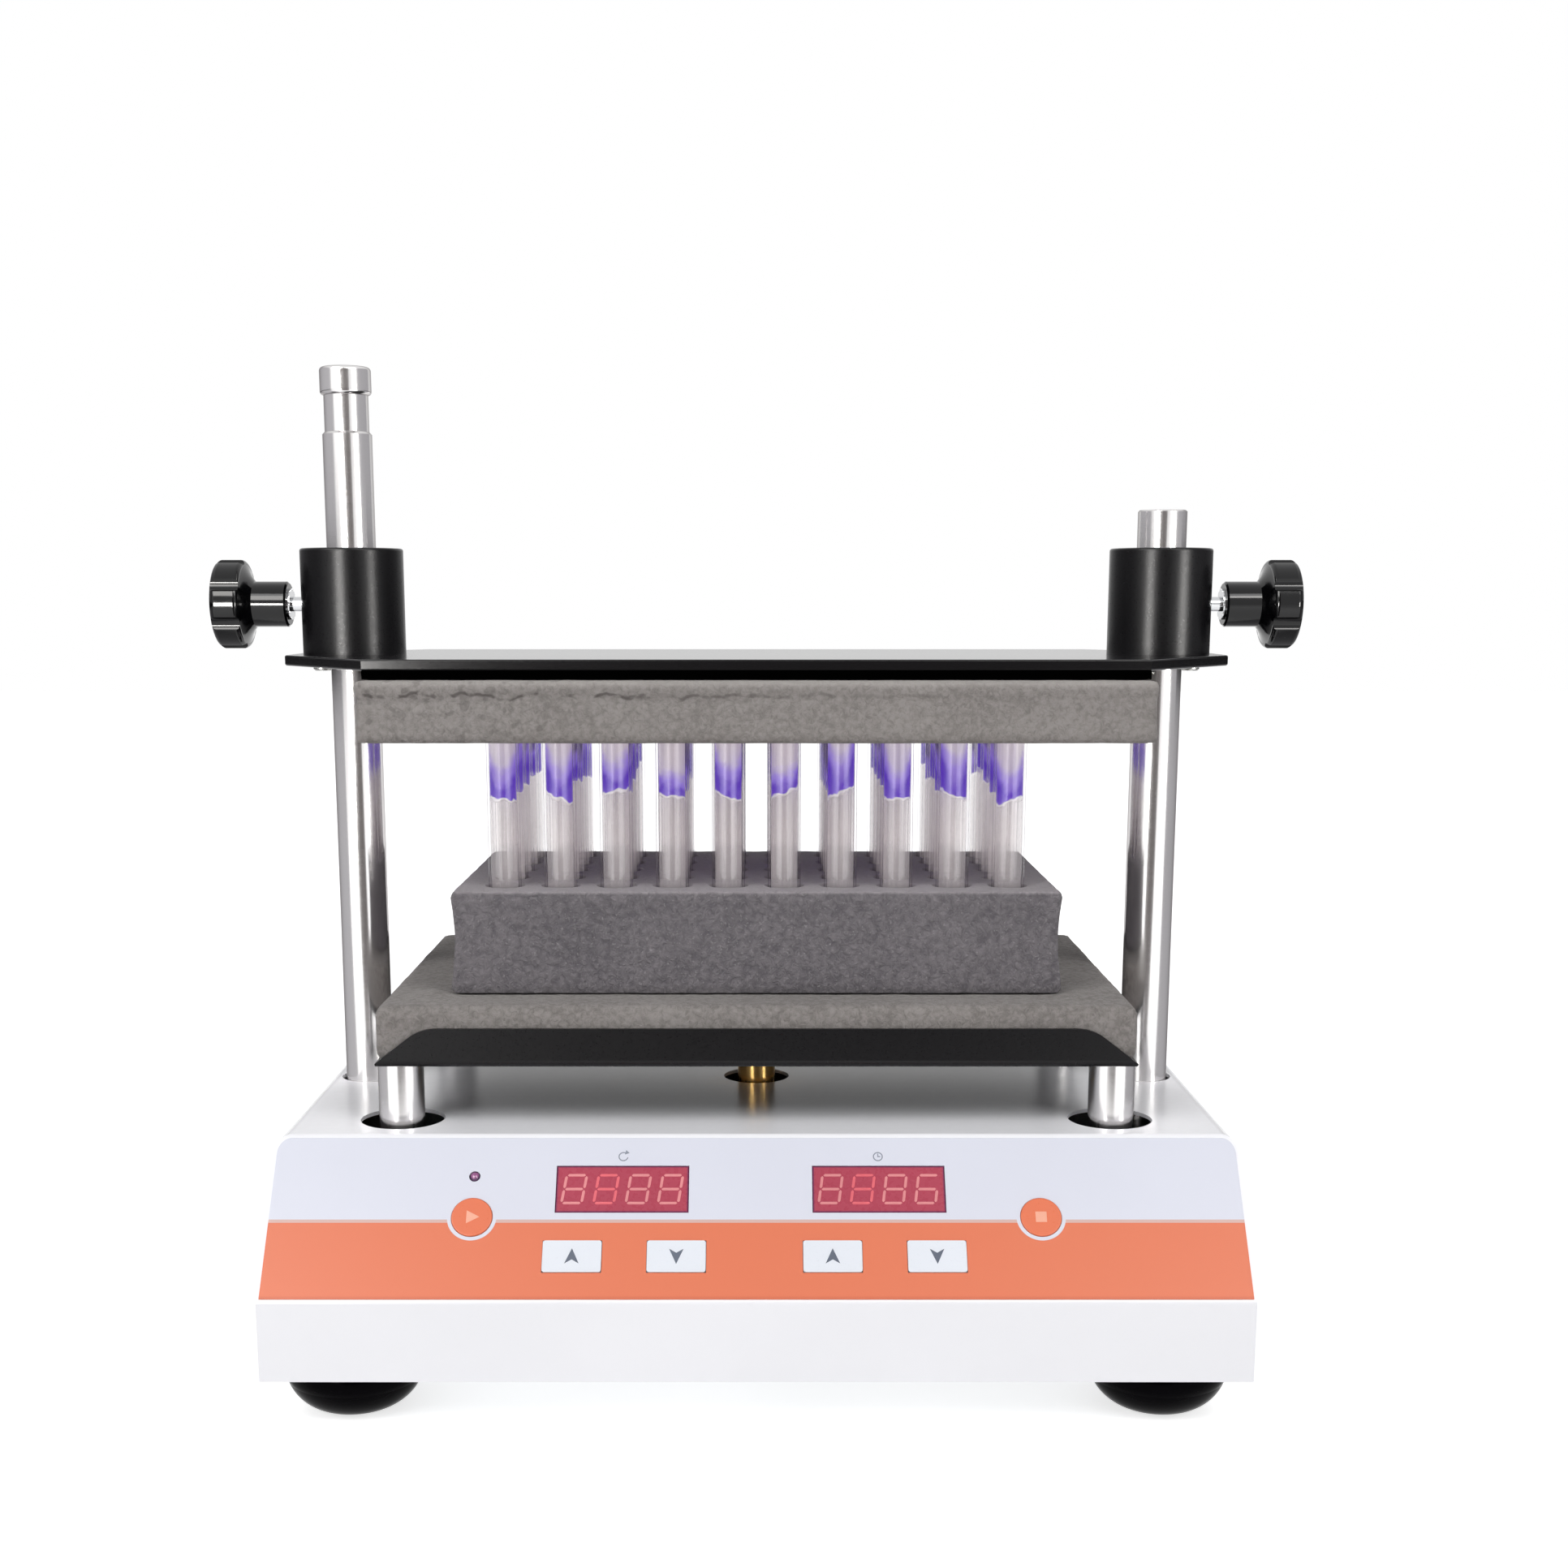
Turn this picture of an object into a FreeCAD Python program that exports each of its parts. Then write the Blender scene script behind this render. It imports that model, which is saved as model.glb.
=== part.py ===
import FreeCAD, Part
import math
import os

from FreeCAD import Placement, Rotation, Vector

# Multi-tube vortex mixer, millimetres, Z up, X to the right, the control panel facing -Y.
# The origin is on the bench, under the middle of the whole machine.

# Housing of bent sheet
case_width = 370.0
case_top_depth = 194.0
panel_run = 43.5
panel_drop = 52.4
skirt_height = 31.0
case_edge_radius = 6.0
case_bend_radius = 2.5
sheet = 1.5
base_sheet = 2.0
base_flange = 14.0
base_fit = 0.3

# Rubber feet
foot_height = 20.6
foot_radius = 27.0
foot_pad_radius = 9.0
foot_recess_radius = 6.0
foot_recess_depth = 9.0
foot_side_inset = 30.0
foot_inset = 30.5

# Orbit of the shaking frame, and the running gaps around what moves
throw = 1.8
running_gap = 0.3
soft_gap = 0.3
shaft_fit = 0.05

# Shaking frame: plate, posts and tray
swing_plate_side_gap = 7.0
swing_plate_end_gap = 13.0
swing_plate_thickness = 5.0
swing_plate_below_top = 12.5
swing_plate_corner = 14.0
window_length = 62.0
window_depth = 96.0
window_x = 61.0
short_post_radius = 9.0
short_post_inset = 11.0
post_spacing = 26.5
post_chamfer = 0.6
short_hole_radius = 16.6
tall_post_radius = 10.0
tall_post_inset = 11.2
tall_hole_radius = 12.2
centre_hole_radius = 14.0
tray_lift = 24.4
left_post_top = 269.6
right_post_top = 238.6
post_neck_radius = 9.0
post_neck_length = 14.4
post_cap_radius = 10.35
post_cap_length = 11.1
post_cap_edge = 1.6
post_edge = 1.0
post_bore_radius = 4.0
post_bore_depth = 18.0
screw_end_gap = 2.0

tray_past_post_x = 7.6
tray_past_post_y = 14.8
tray_sheet = 1.5
tray_bend = 3.0
tray_flap_height = 15.4
tray_flap_slant = 17.9
tray_flap_corner = 18.0
tray_screw_radius = 3.0
tray_screw_head = 5.5
tray_screw_depth = 8.0

# Foam and tubes
liner_thickness = 22.5
rack_end_wall = 20.525
rack_side_wall = 17.9
rack_height = 41.1
tube_columns = 10
tube_rows = 5
tube_pitch_x = 22.35
tube_pitch_y = 23.8
tube_radius = 6.5
tube_wall = 1.0
tube_length = 100.0
tube_floor = 2.0
tube_bore_gap = 0.3

# Clamp bridge
pad_past_board_x = 2.5
pad_past_board_y = 8.0
pad_thickness = 23.4
board_thickness = 3.2
clamp_shoulder = 17.8
clamp_setback = 7.8
clamp_thickness = 4.2
clamp_edge = 0.7
ear_past_post = 25.0
ear_half_depth = 20.0
ear_corner = 7.0
collar_radius = 21.0
collar_height = 42.8
collar_bore_gap = 0.7
collar_edge = 1.0
collar_screw_radius = 2.0
collar_screw_head = 3.8
collar_screw_length = 12.0
collar_screw_end_gap = 1.0

# Clamp screws and their lobed knobs, measured along X from the post's middle
clamp_screw_height = 20.3
clamp_screw_radius = 3.0
clamp_thread_gap = 0.1
tip_gap = 0.65
tip_radius = 2.8
tip_length = 3.0
tip_chamfer = 0.4
knob_hub_start = 26.2
knob_hub_radius = 9.25
knob_hub_length = 14.0
knob_hub_edge = 0.8
knob_cone_length = 3.5
knob_head_radius = 18.0
knob_head_length = 12.5
knob_dome = 0.7
knob_shoulder = 2.0
knob_rim = 3.0
knob_lobes = 7
knob_scallop_radius = 3.4
knob_scallop_centre = 19.7
knob_scallop_turn = 0.75
knob_screw_depth = 12.0
knob_insert_radius = 6.4
knob_insert_length = 1.0
knob_insert_ribs = 12
knob_insert_groove = 0.7
knob_insert_web = 0.4

# Control panel, measured down the slope from its top edge
foil_thickness = 0.4
foil_margin = 1.2
display_length = 50.3
display_height = 19.0
display_depth = 10.0
display_down = 23.0
display_offset = -1.5
display_recess = 0.1
display_edge = 0.3
key_group_x = (-49.4, 48.0)
key_group_names = ("speed", "time")
key_spacing = 39.0
key_length = 22.0
key_height = 12.5
key_down = 50.2
key_corner = 1.0
button_radius = 7.75
button_x = 107.3
button_down = 34.5
button_edge = 0.4
key_proud = 0.5
key_gap = 0.3
key_travel = 0.8
key_flange_reach = 1.3
key_flange_thickness = 0.8
key_stem_radius = 2.0
key_stem_length = 3.0
switch_side = 7.0
led_radius = 2.0
led_proud = 0.8
led_down = 17.8
control_board_margin = 14.7
control_board_thickness = 1.6
control_board_edge = 3.0
standoff_radius = 3.0
control_standoff_x = (-90.0, 90.0)
control_standoff_down = (12.0, 58.0)

# Drive: motor, eccentric and roller bearing
motor_radius = 40.0
motor_height = 38.0
motor_pilot_radius = 15.0
motor_pilot_height = 3.0
motor_edge = 3.0
motor_groove_count = 24
motor_groove_depth = 1.5
motor_groove_width = 3.0
motor_groove_low_end = 8.0
motor_groove_high_end = 6.0
motor_shaft_radius = 5.0
motor_shaft_depth = 20.0
bridge_top = 68.0
bridge_sheet = 4.0
bridge_half_length = 58.0
bridge_depth = 96.0
bridge_flange = 15.0
bridge_bend = 4.0
bridge_screw_inset = 12.0
bridge_screw_radius = 2.0
bridge_screw_head = 3.8
bridge_screw_head_height = 2.2
motor_screw_circle = 30.0
hub_gap = 3.5
hub_radius = 18.0
hub_thickness = 9.0
hub_roof = 2.0
weight_radius = 44.0
weight_angle = 120.0
pin_radius = 6.0
bearing_height = 8.0
bearing_rise = 1.0
bearing_radius = 14.0
inner_ring_wall = 2.4
outer_ring_wall = 2.2
roller_count = 12
roller_inset = 1.0
housing_wall = 4.0
housing_flange_radius = 25.0
housing_flange_thickness = 3.5
housing_roof = 3.5
pillar_radius = 8.0
pillar_chamfer = 0.8

# Rubber mounts and their pillars
mount_x = 110.0
mount_y = 50.0
mount_radius = 13.0
mount_waist_radius = 10.5
mount_rim_share = 0.15
mount_height = 26.0
mount_pillar_radius = 11.0
plate_screw_radius = 4.0
plate_screw_head = 6.5
plate_screw_head_height = 5.0

# Power side
rear_fitting_height = 34.0
inlet_inset = 75.0
inlet_length = 27.4
inlet_height = 20.0
inlet_depth = 22.0
inlet_flange_length = 33.0
inlet_flange_height = 25.0
inlet_flange_thickness = 2.2
inlet_flange_corner = 2.0
inlet_wall = 1.6
inlet_recess_depth = 17.0
inlet_chamfer = 5.0
blade_length = 11.5
blade_width = 4.0
blade_thickness = 2.0
blade_spread = 7.0
blade_outer_drop = 1.5
blade_middle_rise = 2.5
rocker_past_inlet = 48.0
bezel_length = 19.0
bezel_height = 28.0
bezel_flange = 1.5
bezel_lip = 1.5
bezel_depth = 15.0
bezel_wall = 1.6
rocker_half_height = 10.2
rocker_face_depth = 5.0
rocker_valley = 1.8
rocker_back = 1.0
rocker_back_share = 0.62
rocker_pivot_depth = 3.0
rocker_tilt = 10.0
rocker_hub_radius = 5.5
rocker_pin_radius = 1.2
vent_count = 12
vent_pitch = 9.0
vent_width = 3.0
vent_height = 30.0
vent_x = 70.0
power_board_inset = 34.0
power_board_length = 46.0
power_board_depth = 112.0
power_board_lift = 6.0
power_board_edge = 4.0
transformer_side = 34.0
transformer_corner = 2.0
transformer_from_middle = 46.0
transformer_height = 28.0
capacitor_radius = 8.0
capacitor_height = 25.0
capacitor_spread = 10.5
capacitor_from_middle = 2.0
heatsink_length = 30.0
heatsink_from_middle = 22.0
heatsink_depth = 18.0
heatsink_foot = 3.0
heatsink_fin = 2.0
heatsink_height = 26.0
heatsink_fins = 5

# Fasteners
cover_screw_radius = 2.0
cover_screw_head = 3.8
cover_screw_length = 8.0
cover_screw_spread = 80.0
foot_screw_radius = 2.5
foot_screw_head = 4.5
foot_screw_head_height = 3.0
screw_head_height = 2.2
hole_gap = 0.2

# Heights and places that follow from the sizes above
tilt_cos = math.cos(math.radians(rocker_tilt))
tilt_sin = math.sin(math.radians(rocker_tilt))
rear_reach = rocker_face_depth * tilt_cos + rocker_half_height * tilt_sin - rocker_pivot_depth
case_depth = panel_run + case_top_depth
foot_x = case_width / 2 - foot_side_inset
power_board_x = case_width / 2 - power_board_inset
inlet_x = inlet_inset - case_width / 2
rocker_x = inlet_x + rocker_past_inlet
control_board_half_length = button_x + control_board_margin
case_front_y = -(case_depth + rear_reach) / 2
case_rear_y = case_front_y + case_depth
case_bottom_z = foot_height
panel_low_z = case_bottom_z + skirt_height
case_top_z = panel_low_z + panel_drop
panel_top_y = case_front_y + panel_run
panel_tilt = math.degrees(math.atan2(panel_drop, panel_run))
panel_length = math.hypot(panel_run, panel_drop)
floor_z = case_bottom_z + base_sheet
orbit_y = panel_top_y + case_top_depth / 2
frame_y = orbit_y - throw

swing_plate_length = case_width - 2 * swing_plate_side_gap
swing_plate_depth = case_top_depth - 2 * swing_plate_end_gap
tall_post_x = swing_plate_length / 2 - tall_post_inset
short_post_x = tall_post_x - post_spacing
short_post_y = swing_plate_depth / 2 - short_post_inset
tray_half_length = short_post_x + tray_past_post_x
tray_half_depth = short_post_y + tray_past_post_y
tray_flap_half_length = tray_half_length - tray_flap_slant
rack_half_length = (tube_columns - 1) / 2 * tube_pitch_x + rack_end_wall
rack_half_depth = (tube_rows - 1) / 2 * tube_pitch_y + rack_side_wall
clamp_half_length = tall_post_x - clamp_shoulder
clamp_half_depth = tray_half_depth - clamp_setback
pad_half_length = clamp_half_length + pad_past_board_x
pad_half_depth = clamp_half_depth + pad_past_board_y
ear_reach = tall_post_x + ear_past_post

plate_top_z = case_top_z - swing_plate_below_top
plate_low_z = plate_top_z - swing_plate_thickness
tray_z = case_top_z + tray_lift
tray_top_z = tray_z + tray_sheet
liner_z = tray_top_z + soft_gap
liner_top_z = liner_z + liner_thickness
rack_z = liner_top_z + soft_gap
rack_top_z = rack_z + rack_height
tube_top_z = rack_z + tube_length
pad_z = tube_top_z + soft_gap
board_z = pad_z + pad_thickness + soft_gap
clamp_z = board_z + board_thickness
collar_z = clamp_z + clamp_thickness
screw_axis_z = collar_z + clamp_screw_height
collar_bore_radius = tall_post_radius + collar_bore_gap
bearing_z = plate_low_z - (bearing_height - swing_plate_thickness) / 2 + bearing_rise
pin_top_z = bearing_z + bearing_height
hub_z = bridge_top + hub_gap
hub_top_z = hub_z + hub_thickness
housing_radius = bearing_radius + housing_wall
housing_top_z = pin_top_z + running_gap + housing_roof
mount_top_z = plate_low_z - running_gap
mount_low_z = mount_top_z - mount_height
key_depth = key_flange_thickness + sheet + running_gap
rear_z = case_bottom_z + rear_fitting_height

post_corners = [(sx * short_post_x, frame_y + sy * short_post_y) for sx in (-1, 1) for sy in (-1, 1)]
foot_rows = (case_front_y + foot_inset, case_rear_y - foot_inset)
foot_places = [(sx * foot_x, y) for sx in (-1, 1) for y in foot_rows]
mount_places = [(sx * mount_x, orbit_y + sy * mount_y) for sx in (-1, 1) for sy in (-1, 1)]
tube_places = [
    ((i - (tube_columns - 1) / 2) * tube_pitch_x, frame_y + (j - (tube_rows - 1) / 2) * tube_pitch_y)
    for j in range(tube_rows)
    for i in range(tube_columns)
]


def box(x0, x1, y0, y1, z0, z1):
    return Part.makeBox(x1 - x0, y1 - y0, z1 - z0, Vector(x0, y0, z0))


def cylinder(radius, z0, z1, x=0.0, y=0.0):
    return Part.makeCylinder(radius, z1 - z0, Vector(x, y, z0))


def outline(points):
    return Part.Face(Part.makePolygon([Vector(*p) for p in points] + [Vector(*points[0])]))


def revolve(edges):
    return Part.Face(Part.Wire(edges)).revolve(Vector(0, 0, 0), Vector(0, 0, 1), 360)


def line(r0, z0, r1, z1):
    return Part.makeLine(Vector(r0, 0, z0), Vector(r1, 0, z1))


def arc(r0, z0, r1, z1, r2, z2):
    return Part.Arc(Vector(r0, 0, z0), Vector(r1, 0, z1), Vector(r2, 0, z2)).toShape()


def moved(shape, x=0.0, y=0.0, z=0.0):
    copy = shape.copy()
    copy.translate(Vector(x, y, z))
    return copy


def upright_edges(shape, corners=None):
    """Edges along Z, all of them or those that stand on the given corners."""
    found = []
    for edge in shape.Edges:
        a, b = edge.Vertexes[0].Point, edge.Vertexes[-1].Point
        if abs(a.x - b.x) < 1e-6 and abs(a.y - b.y) < 1e-6 and abs(a.z - b.z) > 1e-6:
            if corners is None or any(math.hypot(a.x - x, a.y - y) < 1e-3 for x, y in corners):
                found.append(edge)
    return found


def rounded_box(x0, x1, y0, y1, z0, z1, radius):
    block = box(x0, x1, y0, y1, z0, z1)
    return block.makeFillet(radius, upright_edges(block))


def screw(head_radius, head_height, shank_radius, shank_length):
    """A screw that points down -Z, its head seated on Z = 0, the head's rim rounded."""
    rim = 0.3 * head_height
    head = cylinder(head_radius, 0, head_height)
    head = head.makeChamfer(rim, [e for e in head.Edges if e.CenterOfMass.z > head_height - 1e-6])
    return head.fuse(cylinder(shank_radius, -shank_length, 0)).removeSplitter()


def mirrored(shape):
    return shape.mirror(Vector(0, 0, 0), Vector(1, 0, 0))


def on_panel(shape):
    """Places a shape drawn flat: X across, Y up the slope from its top edge, Z out of the panel."""
    copy = shape.copy()
    copy.Placement = Placement(Vector(0, panel_top_y, case_top_z), Rotation(Vector(1, 0, 0), panel_tilt))
    return copy


def case_block(inset, bottom_z):
    """The housing's outer form, or its inside when inset by the sheet: two outlines that cross."""
    low_shift = inset * math.tan(math.radians(90 - panel_tilt) / 2)
    top_shift = inset * math.tan(math.radians(panel_tilt) / 2)
    side = outline([
        (0, case_front_y + inset, bottom_z),
        (0, case_front_y + inset, panel_low_z - low_shift),
        (0, panel_top_y + top_shift, case_top_z - inset),
        (0, case_rear_y - inset, case_top_z - inset),
        (0, case_rear_y - inset, bottom_z),
    ]).extrude(Vector(case_width, 0, 0))
    bends = [e for e in side.Edges if e.Length > case_width - 1e-6 and e.CenterOfMass.z > bottom_z + 1e-6]
    side = side.makeFillet(case_bend_radius - inset, bends)
    side.translate(Vector(-case_width / 2, 0, 0))
    return side.common(case_front_form(inset, bottom_z))


def case_front_form(inset, bottom_z):
    """The housing seen from the front: upright sides with rounded upper corners, run through in Y."""
    half = case_width / 2 - inset
    block = box(-half, half, case_front_y - 1, case_rear_y + 1, bottom_z, case_top_z - inset)
    top_edges = [
        e for e in block.Edges
        if abs(abs(e.CenterOfMass.x) - half) < 1e-6 and abs(e.CenterOfMass.z - case_top_z + inset) < 1e-6
    ]
    return block.makeFillet(case_edge_radius - inset, top_edges)


def key_centres():
    """Name, x and distance down the slope of each rectangular key."""
    keys = []
    for name, x in zip(key_group_names, key_group_x):
        keys.append((f"key_{name}_up", x - key_spacing / 2))
        keys.append((f"key_{name}_down", x + key_spacing / 2))
    return keys


def button_centres():
    return [("button_start", -button_x), ("button_stop", button_x)]


def panel_window(gap, z0, z1):
    """Everything that passes through the panel, grown by a gap, as one set of cutting solids."""
    cuts = []
    for x in key_group_x:
        half_x = display_length / 2 + gap
        half_y = display_height / 2 + gap
        middle = x + display_offset
        cuts.append(box(middle - half_x, middle + half_x, -display_down - half_y, -display_down + half_y, z0, z1))
    for _, x in key_centres():
        half_x = key_length / 2 + gap
        half_y = key_height / 2 + gap
        cuts.append(box(x - half_x, x + half_x, -key_down - half_y, -key_down + half_y, z0, z1))
    for _, x in button_centres():
        cuts.append(cylinder(button_radius + gap, z0, z1, x, -button_down))
    cuts.append(cylinder(led_radius + gap, z0, z1, -button_x, -led_down))
    return [on_panel(c) for c in cuts]


def make_cover_shell():
    shell = case_block(0, case_bottom_z).cut(case_block(sheet, case_bottom_z - 1))
    cuts = panel_window(key_gap, -2 * sheet, sheet)
    for x in (-tall_post_x, tall_post_x):
        cuts.append(cylinder(tall_hole_radius, case_top_z - 3 * sheet, case_top_z + sheet, x, orbit_y))
    for x, y in post_corners:
        cuts.append(cylinder(short_hole_radius, case_top_z - 2 * sheet, case_top_z + sheet, x, y + throw))
    cuts.append(cylinder(centre_hole_radius, case_top_z - 2 * sheet, case_top_z + sheet, 0, orbit_y))
    back, front = case_rear_y + sheet, case_rear_y - 2 * sheet
    for x, half_x, half_z in rear_cutouts():
        cuts.append(box(x - half_x, x + half_x, front, back, rear_z - half_z, rear_z + half_z))
    for i in range(vent_count):
        x = vent_x + (i - (vent_count - 1) / 2) * vent_pitch
        half = vent_width / 2
        slot = box(x - half, x + half, front, back, rear_z - vent_height / 2, rear_z + vent_height / 2)
        cuts.append(slot)
    for place in cover_screw_places():
        cuts.append(side_hole(cover_screw_radius + hole_gap, *place))
    return shell.cut(cuts)


def rear_cutouts():
    """Middle, half width and half height of the two cut-outs in the rear wall."""
    return [
        (inlet_x, inlet_length / 2 + hole_gap, inlet_height / 2 + hole_gap),
        (rocker_x, bezel_length / 2 + hole_gap, bezel_height / 2 + hole_gap),
    ]


def cover_screw_places():
    z = case_bottom_z + base_sheet + base_flange / 2
    return [(side, orbit_y + sy * cover_screw_spread, z) for side in (-1, 1) for sy in (-1, 1)]


def side_hole(radius, side, y, z):
    start = Vector(side * (case_width / 2 - 4 * base_sheet), y, z)
    return Part.makeCylinder(radius, 5 * base_sheet, start, Vector(side, 0, 0))


def make_base_plate():
    half_x = case_width / 2 - sheet - base_fit
    front = case_front_y + sheet + base_fit
    rear = case_rear_y - sheet - base_fit
    tray_block = box(-half_x, half_x, front, rear, case_bottom_z, floor_z + base_flange)
    inner = half_x - base_sheet
    plate = tray_block.cut(box(-inner, inner, front - 1, rear + 1, floor_z, floor_z + base_flange + 1))
    cuts = [cylinder(foot_screw_radius + hole_gap, case_bottom_z - 1, floor_z + 1, x, y) for x, y in foot_places]
    for x, y in bridge_screw_places():
        cuts.append(cylinder(bridge_screw_radius + hole_gap, case_bottom_z - 1, floor_z + 1, x, y))
    for place in cover_screw_places():
        cuts.append(side_hole(cover_screw_radius + hole_gap, *place))
    return plate.cut(cuts)


def make_cover_screws():
    screws = []
    for side, y, z in cover_screw_places():
        one = screw(cover_screw_head, screw_head_height, cover_screw_radius, cover_screw_length)
        one.Placement = Placement(Vector(side * case_width / 2, y, z), Rotation(Vector(0, 1, 0), side * 90))
        screws.append(one)
    return Part.makeCompound(screws)


def make_foot(x, y):
    """A moulded rubber dome: round shoulder under the base plate, small flat tread, recess for its screw."""
    h, r = foot_height, foot_radius
    seat = foot_recess_depth
    hole = foot_screw_radius + hole_gap
    neck, widest, turn = 0.96 * r, 0.8 * h, 0.6 * h
    haunch_r, haunch_z = 0.74 * r, 0.19 * h
    foot = revolve([
        line(hole, h, neck, h),
        arc(neck, h, r, widest, neck, turn),
        arc(neck, turn, haunch_r, haunch_z, foot_pad_radius, 0),
        line(foot_pad_radius, 0, foot_recess_radius, 0),
        line(foot_recess_radius, 0, foot_recess_radius, seat),
        line(foot_recess_radius, seat, hole, seat),
        line(hole, seat, hole, h),
    ])
    return moved(foot, x, y)


def make_foot_screws():
    length = foot_height - foot_recess_depth + base_sheet + 3.0
    one = screw(foot_screw_head, foot_screw_head_height, foot_screw_radius, length)
    one.rotate(Vector(0, 0, 0), Vector(1, 0, 0), 180)
    return Part.makeCompound([moved(one, x, y, foot_recess_depth) for x, y in foot_places])


def make_panel_foil():
    """The printed foil: it covers the slope from side to side and follows the housing's rounded corners."""
    half = case_width / 2
    foil = box(-half, half, -panel_length + foil_margin, -foil_margin, 0, foil_thickness)
    foil = on_panel(foil).common(case_front_form(foil_margin, case_bottom_z))
    return foil.cut(panel_window(0.5 * key_gap, -sheet, 2 * sheet))


def make_display(group_x):
    """A four-digit module: shallow box with a bevelled front edge, face just under the foil's surface."""
    x = group_x + display_offset
    top = foil_thickness - display_recess
    half_x, half_y = display_length / 2, display_height / 2
    block = box(x - half_x, x + half_x, -display_down - half_y, -display_down + half_y, top - display_depth, top)
    rim = [e for e in block.Edges if e.CenterOfMass.z > top - 1e-6]
    return on_panel(block.makeChamfer(display_edge, rim))


def board_top():
    """The control board's upper face, measured out of the panel."""
    return foil_thickness - display_recess - display_depth


def make_control_board():
    """The board behind the panel, parallel to it, with a switch body soldered under every key."""
    top = board_top()
    half = control_board_half_length
    low, high = -panel_length + control_board_edge, -control_board_edge - sheet
    board = box(-half, half, low, high, top - control_board_thickness, top)
    return Part.makeCompound([on_panel(board)] + make_key_switches())


def key_solid(cap, flange, x, down):
    top = foil_thickness + key_proud
    stem_top = top - key_proud - foil_thickness - key_depth
    stem = cylinder(key_stem_radius, stem_top - key_stem_length, stem_top, x, -down)
    return on_panel(cap.fuse([flange, stem]).removeSplitter())


def make_key(x):
    """A key cap with a retaining flange behind the panel and a stem down to its switch."""
    top = foil_thickness + key_proud
    flange_top = -sheet - running_gap
    half_x, half_y = key_length / 2, key_height / 2
    cap = rounded_box(x - half_x, x + half_x, -key_down - half_y, -key_down + half_y, flange_top, top, key_corner)
    reach_x, reach_y = half_x + key_flange_reach, half_y + key_flange_reach
    flange_low = flange_top - key_flange_thickness
    flange = box(x - reach_x, x + reach_x, -key_down - reach_y, -key_down + reach_y, flange_low, flange_top)
    return key_solid(cap, flange, x, key_down)


def make_button(x):
    top = foil_thickness + key_proud
    flange_top = -sheet - running_gap
    cap = cylinder(button_radius, flange_top, top, x, -button_down)
    rim = [e for e in cap.Edges if e.CenterOfMass.z > top - 1e-6]
    cap = cap.makeFillet(button_edge, rim)
    flange_low = flange_top - key_flange_thickness
    flange = cylinder(button_radius + key_flange_reach, flange_low, flange_top, x, -button_down)
    return key_solid(cap, flange, x, button_down)


def make_key_switches():
    """Six switch bodies on the control board, each with a well that takes the stem over its travel."""
    stem_end = -sheet - running_gap - key_flange_thickness - key_stem_length
    top = stem_end - running_gap
    well_floor = stem_end - key_travel - running_gap
    half = switch_side / 2
    bodies = []
    places = [(x, key_down) for _, x in key_centres()] + [(x, button_down) for _, x in button_centres()]
    for x, down in places:
        block = box(x - half, x + half, -down - half, -down + half, board_top(), top)
        well = cylinder(key_stem_radius + running_gap, well_floor, top + 1, x, -down)
        bodies.append(on_panel(block.cut(well)))
    return bodies


def make_status_led():
    top = foil_thickness + led_proud
    stem = cylinder(led_radius, board_top(), top - led_radius, -button_x, -led_down)
    dome = Part.makeSphere(led_radius, Vector(-button_x, -led_down, top - led_radius))
    return on_panel(stem.fuse(dome).removeSplitter())


def make_board_standoffs():
    pieces = []
    for x in control_standoff_x:
        for down in control_standoff_down:
            pieces.append(on_panel(cylinder(standoff_radius, board_top(), -sheet, x, -down)))
    half_x = power_board_length / 2 - power_board_edge
    half_y = power_board_depth / 2 - power_board_edge
    for sx in (-1, 1):
        for sy in (-1, 1):
            x, y = power_board_x + sx * half_x, orbit_y + sy * half_y
            pieces.append(cylinder(standoff_radius, floor_z, floor_z + power_board_lift, x, y))
    return Part.makeCompound(pieces)


def make_motor():
    """A flat brushless motor hung under the bridge: grooved can, pilot boss, bore for the shaft."""
    top = bridge_top - bridge_sheet
    low = top - motor_height
    can = cylinder(motor_radius, low, top)
    can = can.makeFillet(motor_edge, [e for e in can.Edges if abs(e.CenterOfMass.z - low) < 1e-6])
    cuts = [cylinder(motor_shaft_radius + shaft_fit, top - motor_shaft_depth, top + motor_pilot_height + 1)]
    half = motor_groove_width / 2
    groove_low, groove_top = low + motor_groove_low_end, top - motor_groove_high_end
    for i in range(motor_groove_count):
        groove = box(motor_radius - motor_groove_depth, motor_radius + 1, -half, half, groove_low, groove_top)
        groove.rotate(Vector(0, 0, 0), Vector(0, 0, 1), 360.0 * i / motor_groove_count)
        cuts.append(groove)
    can = can.fuse(cylinder(motor_pilot_radius, top, top + motor_pilot_height)).cut(cuts)
    return moved(can.removeSplitter(), 0, orbit_y)


def bridge_screw_places():
    x = bridge_half_length + bridge_flange / 2
    y = bridge_depth / 2 - bridge_screw_inset
    return [(sx * x, orbit_y + sy * y) for sx in (-1, 1) for sy in (-1, 1)]


def motor_screw_places():
    reach = motor_screw_circle / math.sqrt(2)
    return [(sx * reach, orbit_y + sy * reach) for sx in (-1, 1) for sy in (-1, 1)]


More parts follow.
